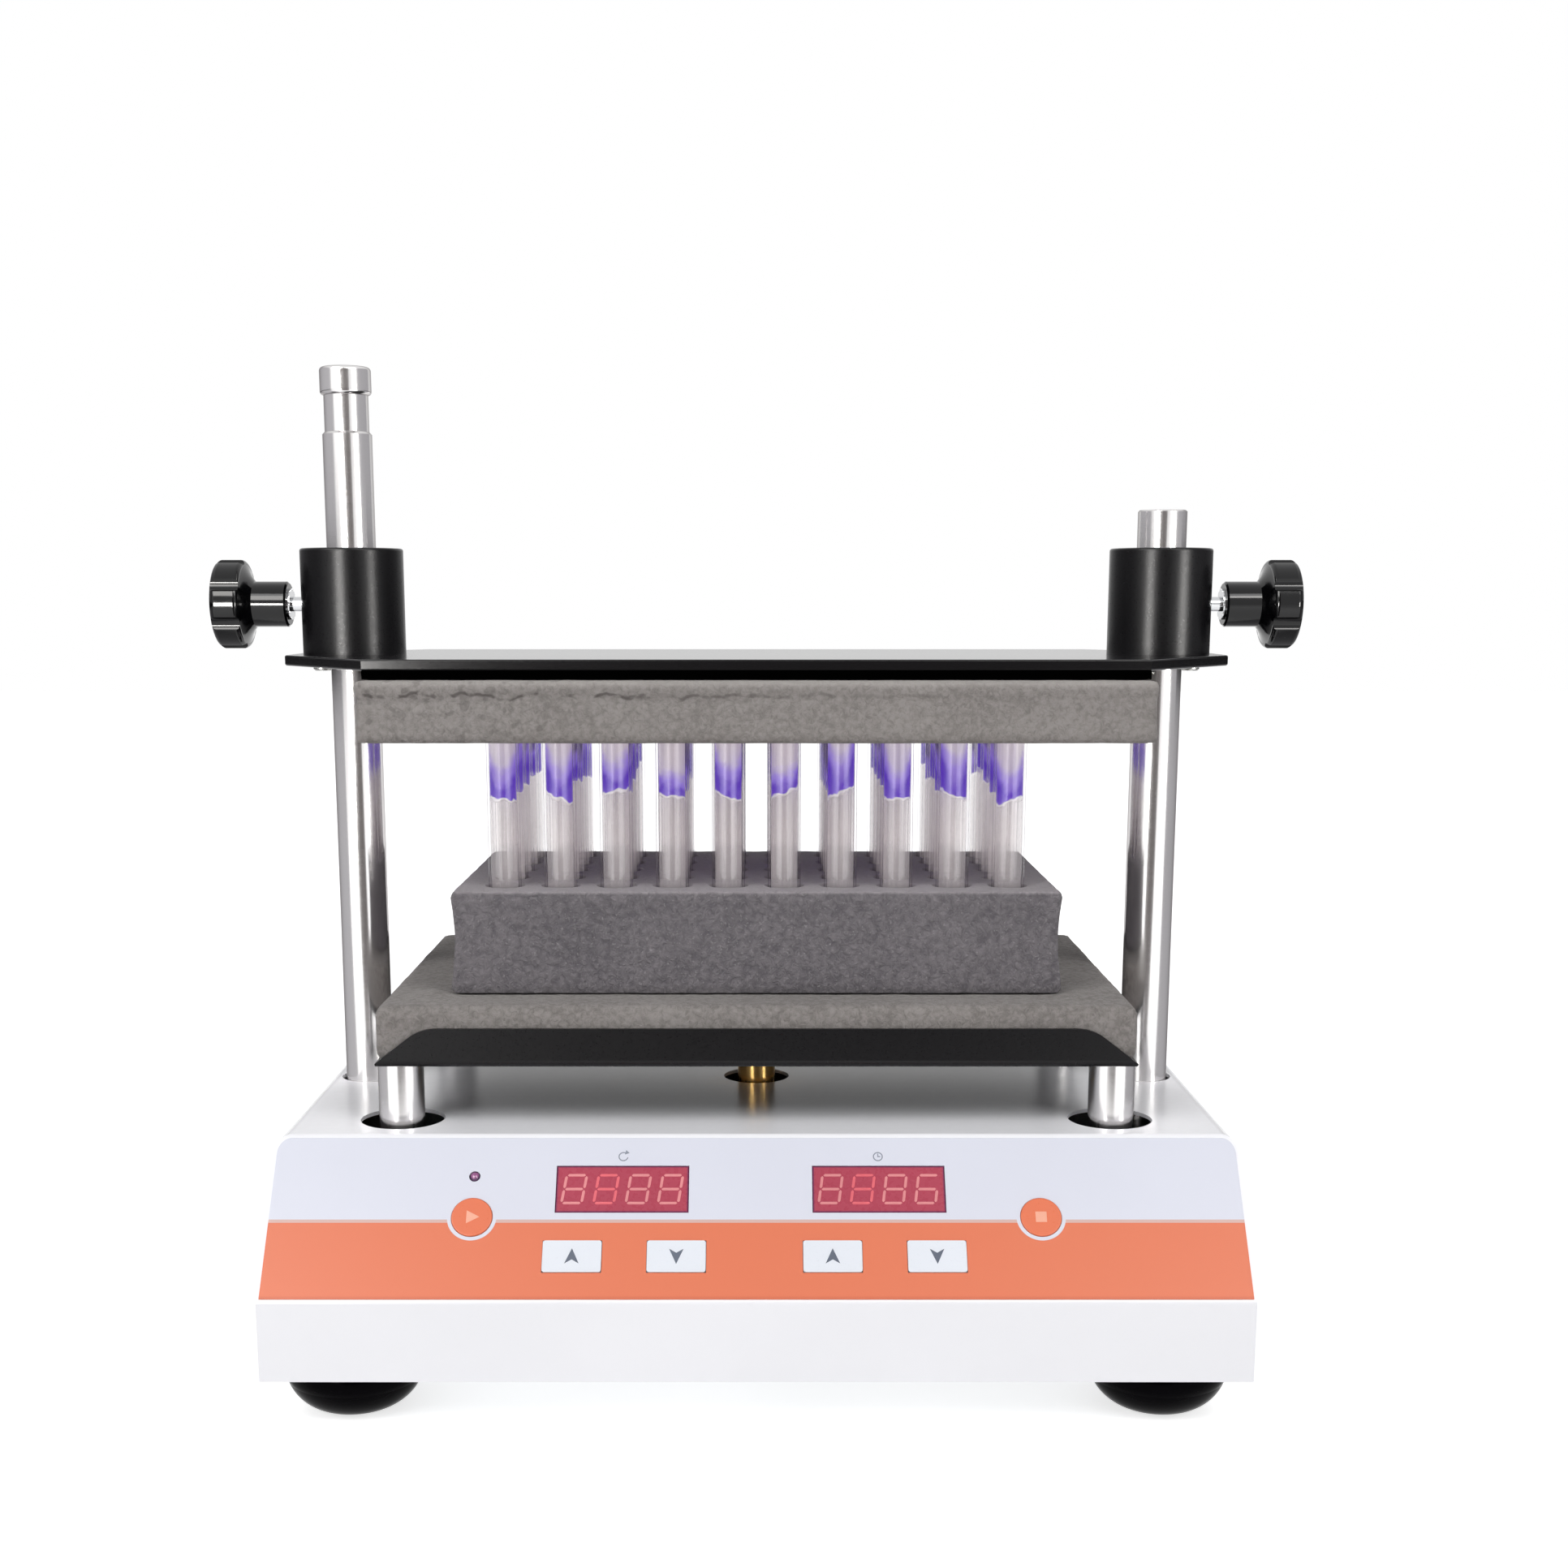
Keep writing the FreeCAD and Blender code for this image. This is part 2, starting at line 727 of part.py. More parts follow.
def make_motor_bridge():
    """A bent steel channel that stands on the base plate and carries the motor."""
    t, half, reach = bridge_sheet, bridge_half_length, bridge_half_length + bridge_flange
    y = orbit_y - bridge_depth / 2
    points = [
        (-reach, y, floor_z), (-half + t, y, floor_z), (-half + t, y, bridge_top - t),
        (half - t, y, bridge_top - t), (half - t, y, floor_z), (reach, y, floor_z),
        (reach, y, floor_z + t), (half, y, floor_z + t), (half, y, bridge_top),
        (-half, y, bridge_top), (-half, y, floor_z + t), (-reach, y, floor_z + t),
    ]
    channel = outline(points).extrude(Vector(0, bridge_depth, 0))
    bends = [
        e for e in channel.Edges
        if abs(abs(e.CenterOfMass.x) - half) < 1e-6 and abs(e.CenterOfMass.z - bridge_top) < 1e-6
    ]
    channel = channel.makeFillet(bridge_bend, bends)
    cuts = [cylinder(motor_pilot_radius + hole_gap, bridge_top - 2 * t, bridge_top + t, 0, orbit_y)]
    for x, y in bridge_screw_places():
        cuts.append(cylinder(bridge_screw_radius + hole_gap, floor_z - 1, floor_z + 2 * t, x, y))
    for x, y in motor_screw_places():
        cuts.append(cylinder(bridge_screw_radius + hole_gap, bridge_top - 2 * t, bridge_top + t, x, y))
    return channel.cut(cuts)


def make_bridge_screws():
    length = bridge_sheet + base_sheet
    one = screw(bridge_screw_head, bridge_screw_head_height, bridge_screw_radius, length)
    short = screw(bridge_screw_head, bridge_screw_head_height, bridge_screw_radius, bridge_sheet)
    screws = [moved(one, x, y, floor_z + bridge_sheet) for x, y in bridge_screw_places()]
    screws += [moved(short, x, y, bridge_top) for x, y in motor_screw_places()]
    return Part.makeCompound(screws)


def make_mount_pillars():
    return Part.makeCompound([cylinder(mount_pillar_radius, floor_z, mount_low_z, x, y) for x, y in mount_places])


def make_rubber_mounts():
    """Waisted rubber blocks that steady the plate and keep it from turning."""
    r, w, h = mount_radius, mount_waist_radius, mount_height
    rim = mount_rim_share * h
    one = revolve([
        line(0, 0, r, 0),
        line(r, 0, r, rim),
        arc(r, rim, w, h / 2, r, h - rim),
        line(r, h - rim, r, h),
        line(r, h, 0, h),
        line(0, h, 0, 0),
    ])
    return Part.makeCompound([moved(one, x, y, mount_low_z) for x, y in mount_places])


def inlet_outline(half_x, half_z, chamfer, y):
    """The three-blade inlet's opening: a rectangle with its two upper corners cut."""
    return outline([
        (inlet_x - half_x, y, rear_z - half_z),
        (inlet_x + half_x, y, rear_z - half_z),
        (inlet_x + half_x, y, rear_z + half_z - chamfer),
        (inlet_x + half_x - chamfer, y, rear_z + half_z),
        (inlet_x - half_x + chamfer, y, rear_z + half_z),
        (inlet_x - half_x, y, rear_z + half_z - chamfer),
    ])


def make_power_inlet():
    face = case_rear_y + inlet_flange_thickness
    inside = case_rear_y - inlet_depth
    half_x, half_z = inlet_length / 2, inlet_height / 2
    body = box(inlet_x - half_x, inlet_x + half_x, inside, case_rear_y, rear_z - half_z, rear_z + half_z)
    reach_x, reach_z = inlet_flange_length / 2, inlet_flange_height / 2
    flange = box(inlet_x - reach_x, inlet_x + reach_x, case_rear_y, face, rear_z - reach_z, rear_z + reach_z)
    edges = [e for e in flange.Edges if abs(e.CenterOfMass.y - (case_rear_y + face) / 2) < 1e-6]
    flange = flange.makeFillet(inlet_flange_corner, edges)
    recess = inlet_outline(half_x - inlet_wall, half_z - inlet_wall, inlet_chamfer, face - inlet_recess_depth)
    return body.fuse(flange).cut(recess.extrude(Vector(0, inlet_recess_depth + 1, 0))).removeSplitter()


def make_inlet_blades():
    """Three contact blades that stand on the floor of the inlet's recess."""
    floor_y = case_rear_y + inlet_flange_thickness - inlet_recess_depth
    blades = []
    places = [(-blade_spread, -blade_outer_drop), (0, blade_middle_rise), (blade_spread, -blade_outer_drop)]
    for x, z in places:
        cx, cz = inlet_x + x, rear_z + z
        w, t = blade_thickness / 2, blade_width / 2
        blades.append(box(cx - w, cx + w, floor_y, floor_y + blade_length, cz - t, cz + t))
    return Part.makeCompound(blades)


def make_rocker_bezel():
    """The power switch's frame: snap-in body with an open pocket in which the rocker tips."""
    half_x, half_z = bezel_length / 2, bezel_height / 2
    inside = case_rear_y - bezel_depth
    body = box(rocker_x - half_x, rocker_x + half_x, inside, case_rear_y, rear_z - half_z, rear_z + half_z)
    reach_x, reach_z = half_x + bezel_lip, half_z + bezel_lip
    face = case_rear_y + bezel_flange
    flange = box(rocker_x - reach_x, rocker_x + reach_x, case_rear_y, face, rear_z - reach_z, rear_z + reach_z)
    wide, tall = half_x - bezel_wall, half_z - bezel_wall
    pocket = box(rocker_x - wide, rocker_x + wide, inside + bezel_wall, face + 1, rear_z - tall, rear_z + tall)
    pivot_y = case_rear_y - rocker_pivot_depth
    pin = Part.makeCylinder(rocker_pin_radius, bezel_length, Vector(rocker_x - half_x, pivot_y, rear_z), Vector(1, 0, 0))
    return body.fuse(flange).cut(pocket).fuse(pin).removeSplitter()


def make_rocker():
    """A rocker with two finger faces in a shallow V, tipped to its off position."""
    half_x = bezel_length / 2 - bezel_wall - running_gap
    depth, tall = rocker_face_depth, rocker_half_height
    back_tall = rocker_back_share * tall
    faces = outline([
        (0, depth, -tall), (0, depth - rocker_valley, 0), (0, depth, tall),
        (0, -rocker_back, back_tall), (0, -rocker_back, -back_tall),
    ]).extrude(Vector(2 * half_x, 0, 0))
    hub = Part.makeCylinder(rocker_hub_radius, 2 * half_x, Vector(0, 0, 0), Vector(1, 0, 0))
    hub = hub.common(box(0, 2 * half_x, -rocker_hub_radius, 1, -rocker_hub_radius, rocker_hub_radius))
    bore = Part.makeCylinder(rocker_pin_radius + shaft_fit, 2 * half_x + 2, Vector(-1, 0, 0), Vector(1, 0, 0))
    rocker = faces.fuse(hub).cut(bore).removeSplitter()
    pivot = Vector(rocker_x - half_x, case_rear_y - rocker_pivot_depth, rear_z)
    rocker.Placement = Placement(pivot, Rotation(Vector(1, 0, 0), rocker_tilt))
    return rocker


def make_power_board():
    z = floor_z + power_board_lift
    half_x, half_y = power_board_length / 2, power_board_depth / 2
    x, y = power_board_x, orbit_y
    board = box(x - half_x, x + half_x, y - half_y, y + half_y, z, z + control_board_thickness)
    return Part.makeCompound([board] + make_board_parts(x, y, z + control_board_thickness))


def make_board_parts(x, y, z):
    """Transformer, two capacitors and a finned heatsink, standing on the power board."""
    half = transformer_side / 2
    front = y - transformer_from_middle
    transformer = box(x - half, x + half, front, front + transformer_side, z, z + transformer_height)
    pieces = [transformer.makeChamfer(transformer_corner, upright_edges(transformer))]
    for dx in (-capacitor_spread, capacitor_spread):
        pieces.append(cylinder(capacitor_radius, z, z + capacitor_height, x + dx, y + capacitor_from_middle))
    half = heatsink_length / 2
    front = y + heatsink_from_middle
    rear = front + heatsink_depth
    foot = box(x - half, x + half, front, rear, z, z + heatsink_foot)
    pitch = heatsink_length / heatsink_fins
    fins = []
    for i in range(heatsink_fins):
        fx = x - half + (i + 0.5) * pitch
        fins.append(box(fx - heatsink_fin / 2, fx + heatsink_fin / 2, front, rear, z + heatsink_foot, z + heatsink_height))
    pieces.append(foot.fuse(fins).removeSplitter())
    return pieces


def make_motor_shaft():
    bottom = bridge_top - bridge_sheet - motor_shaft_depth + running_gap
    return cylinder(motor_shaft_radius, bottom, hub_top_z - hub_roof, 0, orbit_y)


def make_eccentric():
    """Hub, eccentric pin and counterweight in one piece, the weight opposite the pin."""
    hub = cylinder(hub_radius, hub_z, hub_top_z)
    start = 90 - weight_angle / 2
    weight = Part.makeCylinder(weight_radius, hub_thickness, Vector(0, 0, hub_z), Vector(0, 0, 1), weight_angle)
    weight.rotate(Vector(0, 0, 0), Vector(0, 0, 1), start)
    pin = cylinder(pin_radius, hub_top_z, pin_top_z, 0, -throw)
    seat = cylinder(pin_radius + inner_ring_wall / 2, hub_top_z, bearing_z, 0, -throw)
    bore = cylinder(motor_shaft_radius, hub_z - 1, hub_top_z - hub_roof)
    return moved(hub.fuse([weight, pin, seat]).cut(bore).removeSplitter(), 0, orbit_y)


def make_bearing_inner():
    """The bearing's inner ring on the eccentric pin, with the rollers that run round it."""
    ring = cylinder(pin_radius + inner_ring_wall, bearing_z, pin_top_z)
    ring = moved(ring.cut(cylinder(pin_radius, bearing_z - 1, pin_top_z + 1)), 0, frame_y)
    return Part.makeCompound([ring] + make_bearing_rollers())


def make_bearing_rollers():
    inner = pin_radius + inner_ring_wall
    outer = bearing_radius - outer_ring_wall
    radius = (outer - inner) / 2 - shaft_fit / 2
    rollers = []
    for i in range(roller_count):
        angle = 2 * math.pi * i / roller_count
        x = (inner + radius) * math.cos(angle)
        y = frame_y + (inner + radius) * math.sin(angle)
        rollers.append(cylinder(radius, bearing_z + roller_inset, pin_top_z - roller_inset, x, y))
    return rollers


def make_bearing_outer_ring():
    ring = cylinder(bearing_radius, bearing_z, pin_top_z)
    return moved(ring.cut(cylinder(bearing_radius - outer_ring_wall, bearing_z - 1, pin_top_z + 1)), 0, frame_y)


def make_bearing_housing():
    """A turned cup in the middle of the plate, flanged underneath, closed on top under the brass pillar."""
    flange_low = plate_low_z - housing_flange_thickness
    cup = cylinder(housing_radius, plate_low_z, housing_top_z)
    flange = cylinder(housing_flange_radius, flange_low, plate_low_z)
    shoulder = cylinder(bearing_radius - outer_ring_wall, flange_low - 1, pin_top_z + running_gap)
    bore = cylinder(bearing_radius, flange_low - 1, pin_top_z)
    return moved(cup.fuse(flange).cut([bore, shoulder]).removeSplitter(), 0, frame_y)


def make_swing_plate():
    half_x, half_y = swing_plate_length / 2, swing_plate_depth / 2
    low, top = plate_low_z, plate_top_z
    plate = rounded_box(-half_x, half_x, -half_y, half_y, low, top, swing_plate_corner)
    cuts = [cylinder(housing_radius, low - 1, top + 1)]
    for side in (-1, 1):
        x0, x1 = side * window_x - window_length / 2, side * window_x + window_length / 2
        cuts.append(rounded_box(x0, x1, -window_depth / 2, window_depth / 2, low - 1, top + 1, swing_plate_corner))
    for x, y in plate_screw_places():
        cuts.append(cylinder(plate_screw_radius, low - 1, top + 1, x, y - frame_y))
    return moved(plate.cut(cuts), 0, frame_y)


def plate_screw_places():
    return post_corners + [(-tall_post_x, frame_y), (tall_post_x, frame_y)]


def make_plate_screws():
    length = swing_plate_thickness + post_bore_depth - screw_end_gap
    one = screw(plate_screw_head, plate_screw_head_height, plate_screw_radius, length)
    one.rotate(Vector(0, 0, 0), Vector(1, 0, 0), 180)
    return Part.makeCompound([moved(one, x, y, plate_low_z) for x, y in plate_screw_places()])


def make_centre_pillar():
    """The brass pillar that joins the bearing housing to the tray, with a chamfer at each end."""
    pillar = cylinder(pillar_radius, housing_top_z, tray_z, 0, frame_y)
    pillar = pillar.makeChamfer(pillar_chamfer, [e for e in pillar.Edges if e.Closed])
    return pillar.cut(cylinder(tray_screw_radius, tray_z - tray_screw_depth, tray_z + 1, 0, frame_y))


def make_short_posts():
    """Four turned posts that carry the tray, tapped at both ends."""
    post = cylinder(short_post_radius, plate_top_z, tray_z)
    post = post.makeChamfer(post_chamfer, [e for e in post.Edges if e.Closed])
    low_bore = cylinder(post_bore_radius, plate_top_z - 1, plate_top_z + post_bore_depth)
    high_bore = cylinder(tray_screw_radius, tray_z - tray_screw_depth, tray_z + 1)
    post = post.cut([low_bore, high_bore])
    return Part.makeCompound([moved(post, x, y) for x, y in post_corners])


def make_tall_post_left():
    """The longer post: turned down to a neck near its top, where the cap screws on."""
    shoulder = case_top_z + left_post_top
    body = cylinder(tall_post_radius, plate_top_z, shoulder)
    body = body.makeChamfer(post_edge, [e for e in body.Edges if e.Closed])
    neck = cylinder(post_neck_radius, shoulder, shoulder + post_neck_length)
    bore = cylinder(post_bore_radius, plate_top_z - 1, plate_top_z + post_bore_depth)
    return moved(body.fuse(neck).cut(bore).removeSplitter(), -tall_post_x, frame_y)


def make_tall_post_right():
    body = cylinder(tall_post_radius, plate_top_z, case_top_z + right_post_top)
    body = body.makeChamfer(post_chamfer, [e for e in body.Edges if e.Closed])
    bore = cylinder(post_bore_radius, plate_top_z - 1, plate_top_z + post_bore_depth)
    return moved(body.cut(bore), tall_post_x, frame_y)


def make_post_cap():
    low = case_top_z + left_post_top + post_neck_length
    cap = cylinder(post_cap_radius, low, low + post_cap_length)
    cap = cap.makeFillet(post_cap_edge, [e for e in cap.Edges if e.Closed])
    return moved(cap, -tall_post_x, frame_y)


def make_tray():
    """Folded sheet: flat floor, one flap up at the front and one at the rear, the flaps' ends cut at an angle."""
    half_x, half_y, t = tray_half_length, tray_half_depth, tray_sheet
    top = tray_z + tray_flap_height
    block = box(-half_x, half_x, -half_y, half_y, tray_z, top)
    bends = [
        e for e in block.Edges
        if abs(e.CenterOfMass.z - tray_z) < 1e-6 and abs(abs(e.CenterOfMass.y) - half_y) < 1e-6
    ]
    block = block.makeFillet(tray_bend, bends)
    inner = box(-half_x - 1, half_x + 1, -half_y + t, half_y - t, tray_top_z, top + 1)
    inner_bends = [
        e for e in inner.Edges
        if abs(e.CenterOfMass.z - tray_top_z) < 1e-6 and abs(abs(e.CenterOfMass.y) - half_y + t) < 1e-6
    ]
    block = block.cut(inner.makeFillet(tray_bend - t, inner_bends))
    front = outline([
        (-half_x, -half_y - 1, tray_z), (half_x, -half_y - 1, tray_z), (half_x, -half_y - 1, tray_top_z),
        (tray_flap_half_length, -half_y - 1, top), (-tray_flap_half_length, -half_y - 1, top),
        (-half_x, -half_y - 1, tray_top_z),
    ]).extrude(Vector(0, 2 * half_y + 2, 0))
    corners = [e for e in front.Edges if abs(e.CenterOfMass.z - top) < 1e-6 and abs(e.CenterOfMass.y) < 1e-6]
    block = block.common(front.makeFillet(tray_flap_corner, corners))
    cuts = []
    for x, y in post_corners + [(0, frame_y)]:
        cone = Part.makeCone(tray_screw_radius + hole_gap, tray_screw_head + hole_gap, t)
        cuts.append(moved(cone, x, y - frame_y, tray_z))
    return moved(block.cut(cuts), 0, frame_y)


def make_tray_screws():
    head = Part.makeCone(tray_screw_radius, tray_screw_head, tray_sheet)
    shank = cylinder(tray_screw_radius, screw_end_gap - tray_screw_depth, 0)
    one = head.fuse(shank).removeSplitter()
    return Part.makeCompound([moved(one, x, y, tray_z) for x, y in post_corners + [(0, frame_y)]])


def make_liner_foam():
    half_x = tray_half_length - soft_gap
    half_y = tray_half_depth - tray_sheet - soft_gap
    block = box(-half_x, half_x, -half_y, half_y, liner_z, liner_top_z)
    low = [
        e for e in block.Edges
        if abs(e.CenterOfMass.z - liner_z) < 1e-6 and abs(abs(e.CenterOfMass.y) - half_y) < 1e-6
    ]
    return moved(block.makeChamfer(tray_bend - tray_sheet, low), 0, frame_y)


def make_rack_foam():
    """The tube block: a slab of foam bored through for every tube."""
    half_x, half_y = rack_half_length, rack_half_depth
    block = box(-half_x, half_x, frame_y - half_y, frame_y + half_y, rack_z, rack_top_z)
    bores = [cylinder(tube_radius + tube_bore_gap, rack_z - 1, rack_top_z + 1, x, y) for x, y in tube_places]
    return block.cut(bores)


def make_sample_tubes():
    """Fifty glass tubes, open at the top, standing on the liner through the rack's bores."""
    wall = cylinder(tube_radius, rack_z, tube_top_z)
    inside = cylinder(tube_radius - tube_wall, rack_z + tube_floor, tube_top_z + 1)
    tube = wall.cut(inside)
    return Part.makeCompound([moved(tube, x, y) for x, y in tube_places])


def make_clamp_pad():
    half_x, half_y = pad_half_length, pad_half_depth
    return box(-half_x, half_x, frame_y - half_y, frame_y + half_y, pad_z, pad_z + pad_thickness)


def make_backing_board():
    half_x, half_y = clamp_half_length, clamp_half_depth
    return box(-half_x, half_x, frame_y - half_y, frame_y + half_y, board_z, clamp_z)


def make_clamp_plate():
    """Flat plate with rounded edges that narrows to an ear at each end, bored for the two posts."""
    half_x, half_y, ear, ear_y = clamp_half_length, clamp_half_depth, ear_reach, ear_half_depth
    points = [
        (-half_x, -half_y), (half_x, -half_y), (ear, -ear_y), (ear, ear_y),
        (half_x, half_y), (-half_x, half_y), (-ear, ear_y), (-ear, -ear_y),
    ]
    plate = outline([(x, y, clamp_z) for x, y in points]).extrude(Vector(0, 0, clamp_thickness))
    tips = [(x, y) for x, y in points if abs(x) == ear]
    plate = plate.makeFillet(ear_corner, upright_edges(plate, tips))
    levels = (clamp_z, clamp_z + clamp_thickness)
    rims = [e for e in plate.Edges if any(abs(v.Point.z - z) < 1e-6 for v in e.Vertexes[:1] for z in levels)
            and abs(e.Vertexes[0].Point.z - e.Vertexes[-1].Point.z) < 1e-6]
    plate = plate.makeFillet(clamp_edge, rims)
    cuts = []
    for side in (-1, 1):
        cuts.append(cylinder(collar_bore_radius, clamp_z - 1, collar_z + 1, side * tall_post_x, 0))
    for x, y in collar_screw_places():
        cuts.append(cylinder(collar_screw_radius + hole_gap, clamp_z - 1, collar_z + 1, x, y))
    return moved(plate.cut(cuts), 0, frame_y)


def collar_screw_places():
    """Four screws round each post, half way between the collar's bore and its rim."""
    reach = (collar_bore_radius + collar_radius) / 2 / math.sqrt(2)
    return [(side * tall_post_x + sx * reach, sy * reach) for side in (-1, 1) for sx in (-1, 1) for sy in (-1, 1)]


def make_collar(side):
    """A turned collar round the post, with a cross hole for the clamp screw."""
    top = collar_z + collar_height
    collar = cylinder(collar_radius, collar_z, top)
    collar = collar.makeFillet(collar_edge, [e for e in collar.Edges if e.Closed and e.CenterOfMass.z > top - 1e-6])
    cross = Part.makeCylinder(clamp_screw_radius + clamp_thread_gap, 2 * collar_radius,
                              Vector(0, 0, screw_axis_z), Vector(side, 0, 0))
    cuts = [cylinder(collar_bore_radius, collar_z - 1, top + 1), cross]
    for x, y in collar_screw_places():
        depth = collar_screw_length - clamp_thickness + collar_screw_end_gap
        cuts.append(cylinder(collar_screw_radius, collar_z - 1, collar_z + depth, x - side * tall_post_x, y))
    return moved(collar.cut(cuts), side * tall_post_x, frame_y)


def make_collar_screws():
    one = screw(collar_screw_head, screw_head_height, collar_screw_radius, collar_screw_length)
    one.rotate(Vector(0, 0, 0), Vector(1, 0, 0), 180)
    return Part.makeCompound([moved(one, x, frame_y + y, clamp_z) for x, y in collar_screw_places()])


def along_x(shape, side):
    """Turns a shape drawn along Z so that it points outwards from a post, at the clamp screw's height."""
    copy = shape.copy()
    copy.Placement = Placement(Vector(0, 0, 0), Rotation(Vector(0, 1, 0), 90))
    if side < 0:
        copy = mirrored(copy)
    return moved(copy, side * tall_post_x, frame_y, screw_axis_z)


def tip_span():
    start = tall_post_radius + tip_gap
    return start, start + tip_length


def make_clamp_tip(side):
    """The soft brass pad ahead of the screw: it presses on the post and doesn't turn."""
    start, end = tip_span()
    tip = cylinder(tip_radius, start, end)
    rim = [e for e in tip.Edges if e.Closed and e.CenterOfMass.z < start + 1e-6]
    return along_x(tip.makeChamfer(tip_chamfer, rim), side)


def make_clamp_screw(side):
    """Steel screw with the ribbed metal insert that is moulded into the knob's hub."""
    start = tip_span()[1]
    end = knob_hub_start + knob_screw_depth
    shank = cylinder(clamp_screw_radius, start, end)
    face, r = knob_hub_start - knob_insert_length, knob_insert_radius
    insert = cylinder(r, face, knob_hub_start)
    for i in range(knob_insert_ribs):
        angle = 2 * math.pi * i / knob_insert_ribs
        groove = cylinder(knob_insert_groove, face - 1, knob_hub_start - knob_insert_web)
        insert = insert.cut(moved(groove, r * math.cos(angle), r * math.sin(angle)))
    return along_x(shank.fuse(insert).removeSplitter(), side)


def make_knob(side):
    """Lobed star knob: hub, short cone and a thick head scalloped round its rim, its end face domed."""
    start = knob_hub_start
    cone = start + knob_hub_length
    head = cone + knob_cone_length
    end = head + knob_head_length
    r, hub, dome = knob_head_radius, knob_hub_radius, knob_dome
    lip, shoulder, rim = knob_hub_edge, knob_shoulder, knob_rim
    body = revolve([
        line(0, start, hub - lip, start),
        line(hub - lip, start, hub, start + lip),
        line(hub, start + lip, hub, cone),
        arc(hub, cone, hub + 0.25 * (r - hub), head - 0.55 * knob_cone_length, r - shoulder, head),
        arc(r - shoulder, head, r - 0.25 * shoulder, head + 0.3 * shoulder, r, head + shoulder),
        line(r, head + shoulder, r, end - rim),
        arc(r, end - rim, r - 0.27 * rim, end - 0.27 * rim - dome, r - rim, end - dome),
        arc(r - rim, end - dome, 0.6 * r, end - 0.3 * dome, 0.3 * r, end),
        line(0.3 * r, end, 0, end),
        line(0, end, 0, start),
    ])
    cuts = [cylinder(clamp_screw_radius, start - 1, start + knob_screw_depth)]
    for i in range(knob_lobes):
        angle = 2 * math.pi * (i + knob_scallop_turn) / knob_lobes
        x, y = knob_scallop_centre * math.cos(angle), knob_scallop_centre * math.sin(angle)
        cuts.append(cylinder(knob_scallop_radius, cone - 2, end + 1, x, y))
    return along_x(body.cut(cuts), side)


parts = {
    "cover_shell": make_cover_shell(),
    "base_plate": make_base_plate(),
    "cover_screws": make_cover_screws(),
    "foot_screws": make_foot_screws(),
    "panel_foil": make_panel_foil(),
    "control_board": make_control_board(),
    "status_led": make_status_led(),
    "board_standoffs": make_board_standoffs(),
    "motor": make_motor(),
    "motor_bridge": make_motor_bridge(),
    "bridge_screws": make_bridge_screws(),
    "mount_pillars": make_mount_pillars(),
    "rubber_mounts": make_rubber_mounts(),
    "power_inlet": make_power_inlet(),
    "inlet_blades": make_inlet_blades(),
    "rocker_bezel": make_rocker_bezel(),
    "rocker": make_rocker(),
    "power_board": make_power_board(),
    "motor_shaft": make_motor_shaft(),
    "eccentric": make_eccentric(),
    "bearing_inner": make_bearing_inner(),
    "bearing_outer_ring": make_bearing_outer_ring(),
    "bearing_housing": make_bearing_housing(),
    "swing_plate": make_swing_plate(),
    "plate_screws": make_plate_screws(),
    "centre_pillar": make_centre_pillar(),
    "short_posts": make_short_posts(),
    "tall_post_left": make_tall_post_left(),
    "tall_post_right": make_tall_post_right(),
    "post_cap": make_post_cap(),
    "tray": make_tray(),
    "tray_screws": make_tray_screws(),
    "liner_foam": make_liner_foam(),
    "rack_foam": make_rack_foam(),
    "sample_tubes": make_sample_tubes(),
    "clamp_pad": make_clamp_pad(),
    "backing_board": make_backing_board(),
    "clamp_plate": make_clamp_plate(),
    "collar_screws": make_collar_screws(),
}
for name, (x, y) in zip(("front_left", "rear_left", "front_right", "rear_right"), foot_places):
    parts[f"foot_{name}"] = make_foot(x, y)
for name, x in zip(key_group_names, key_group_x):
    parts[f"display_{name}"] = make_display(x)
for name, x in key_centres():
    parts[name] = make_key(x)
for name, x in button_centres():
    parts[name] = make_button(x)
for name, side in (("left", -1), ("right", 1)):
    parts[f"collar_{name}"] = make_collar(side)
    parts[f"clamp_tip_{name}"] = make_clamp_tip(side)
    parts[f"clamp_screw_{name}"] = make_clamp_screw(side)
    parts[f"knob_{name}"] = make_knob(side)

os.makedirs("parts", exist_ok=True)
for name, shape in parts.items():
    shape.exportStep(f"parts/{name}.step")
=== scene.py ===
import bpy
import math
import numpy as np
from mathutils import Matrix, Vector


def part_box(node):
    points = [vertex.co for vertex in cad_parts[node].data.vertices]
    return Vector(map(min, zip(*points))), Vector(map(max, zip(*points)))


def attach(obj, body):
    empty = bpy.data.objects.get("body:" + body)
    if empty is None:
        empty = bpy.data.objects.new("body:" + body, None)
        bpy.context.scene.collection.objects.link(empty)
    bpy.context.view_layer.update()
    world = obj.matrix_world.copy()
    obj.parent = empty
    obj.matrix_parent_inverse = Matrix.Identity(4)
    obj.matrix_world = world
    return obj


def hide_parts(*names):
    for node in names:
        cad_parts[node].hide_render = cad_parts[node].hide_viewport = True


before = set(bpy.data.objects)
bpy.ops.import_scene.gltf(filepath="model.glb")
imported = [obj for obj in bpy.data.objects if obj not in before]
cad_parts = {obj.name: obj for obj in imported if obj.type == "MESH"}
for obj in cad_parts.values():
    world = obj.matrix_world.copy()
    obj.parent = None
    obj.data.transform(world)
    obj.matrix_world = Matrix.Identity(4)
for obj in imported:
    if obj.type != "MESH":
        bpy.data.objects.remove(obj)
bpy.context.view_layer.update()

mm = 0.001


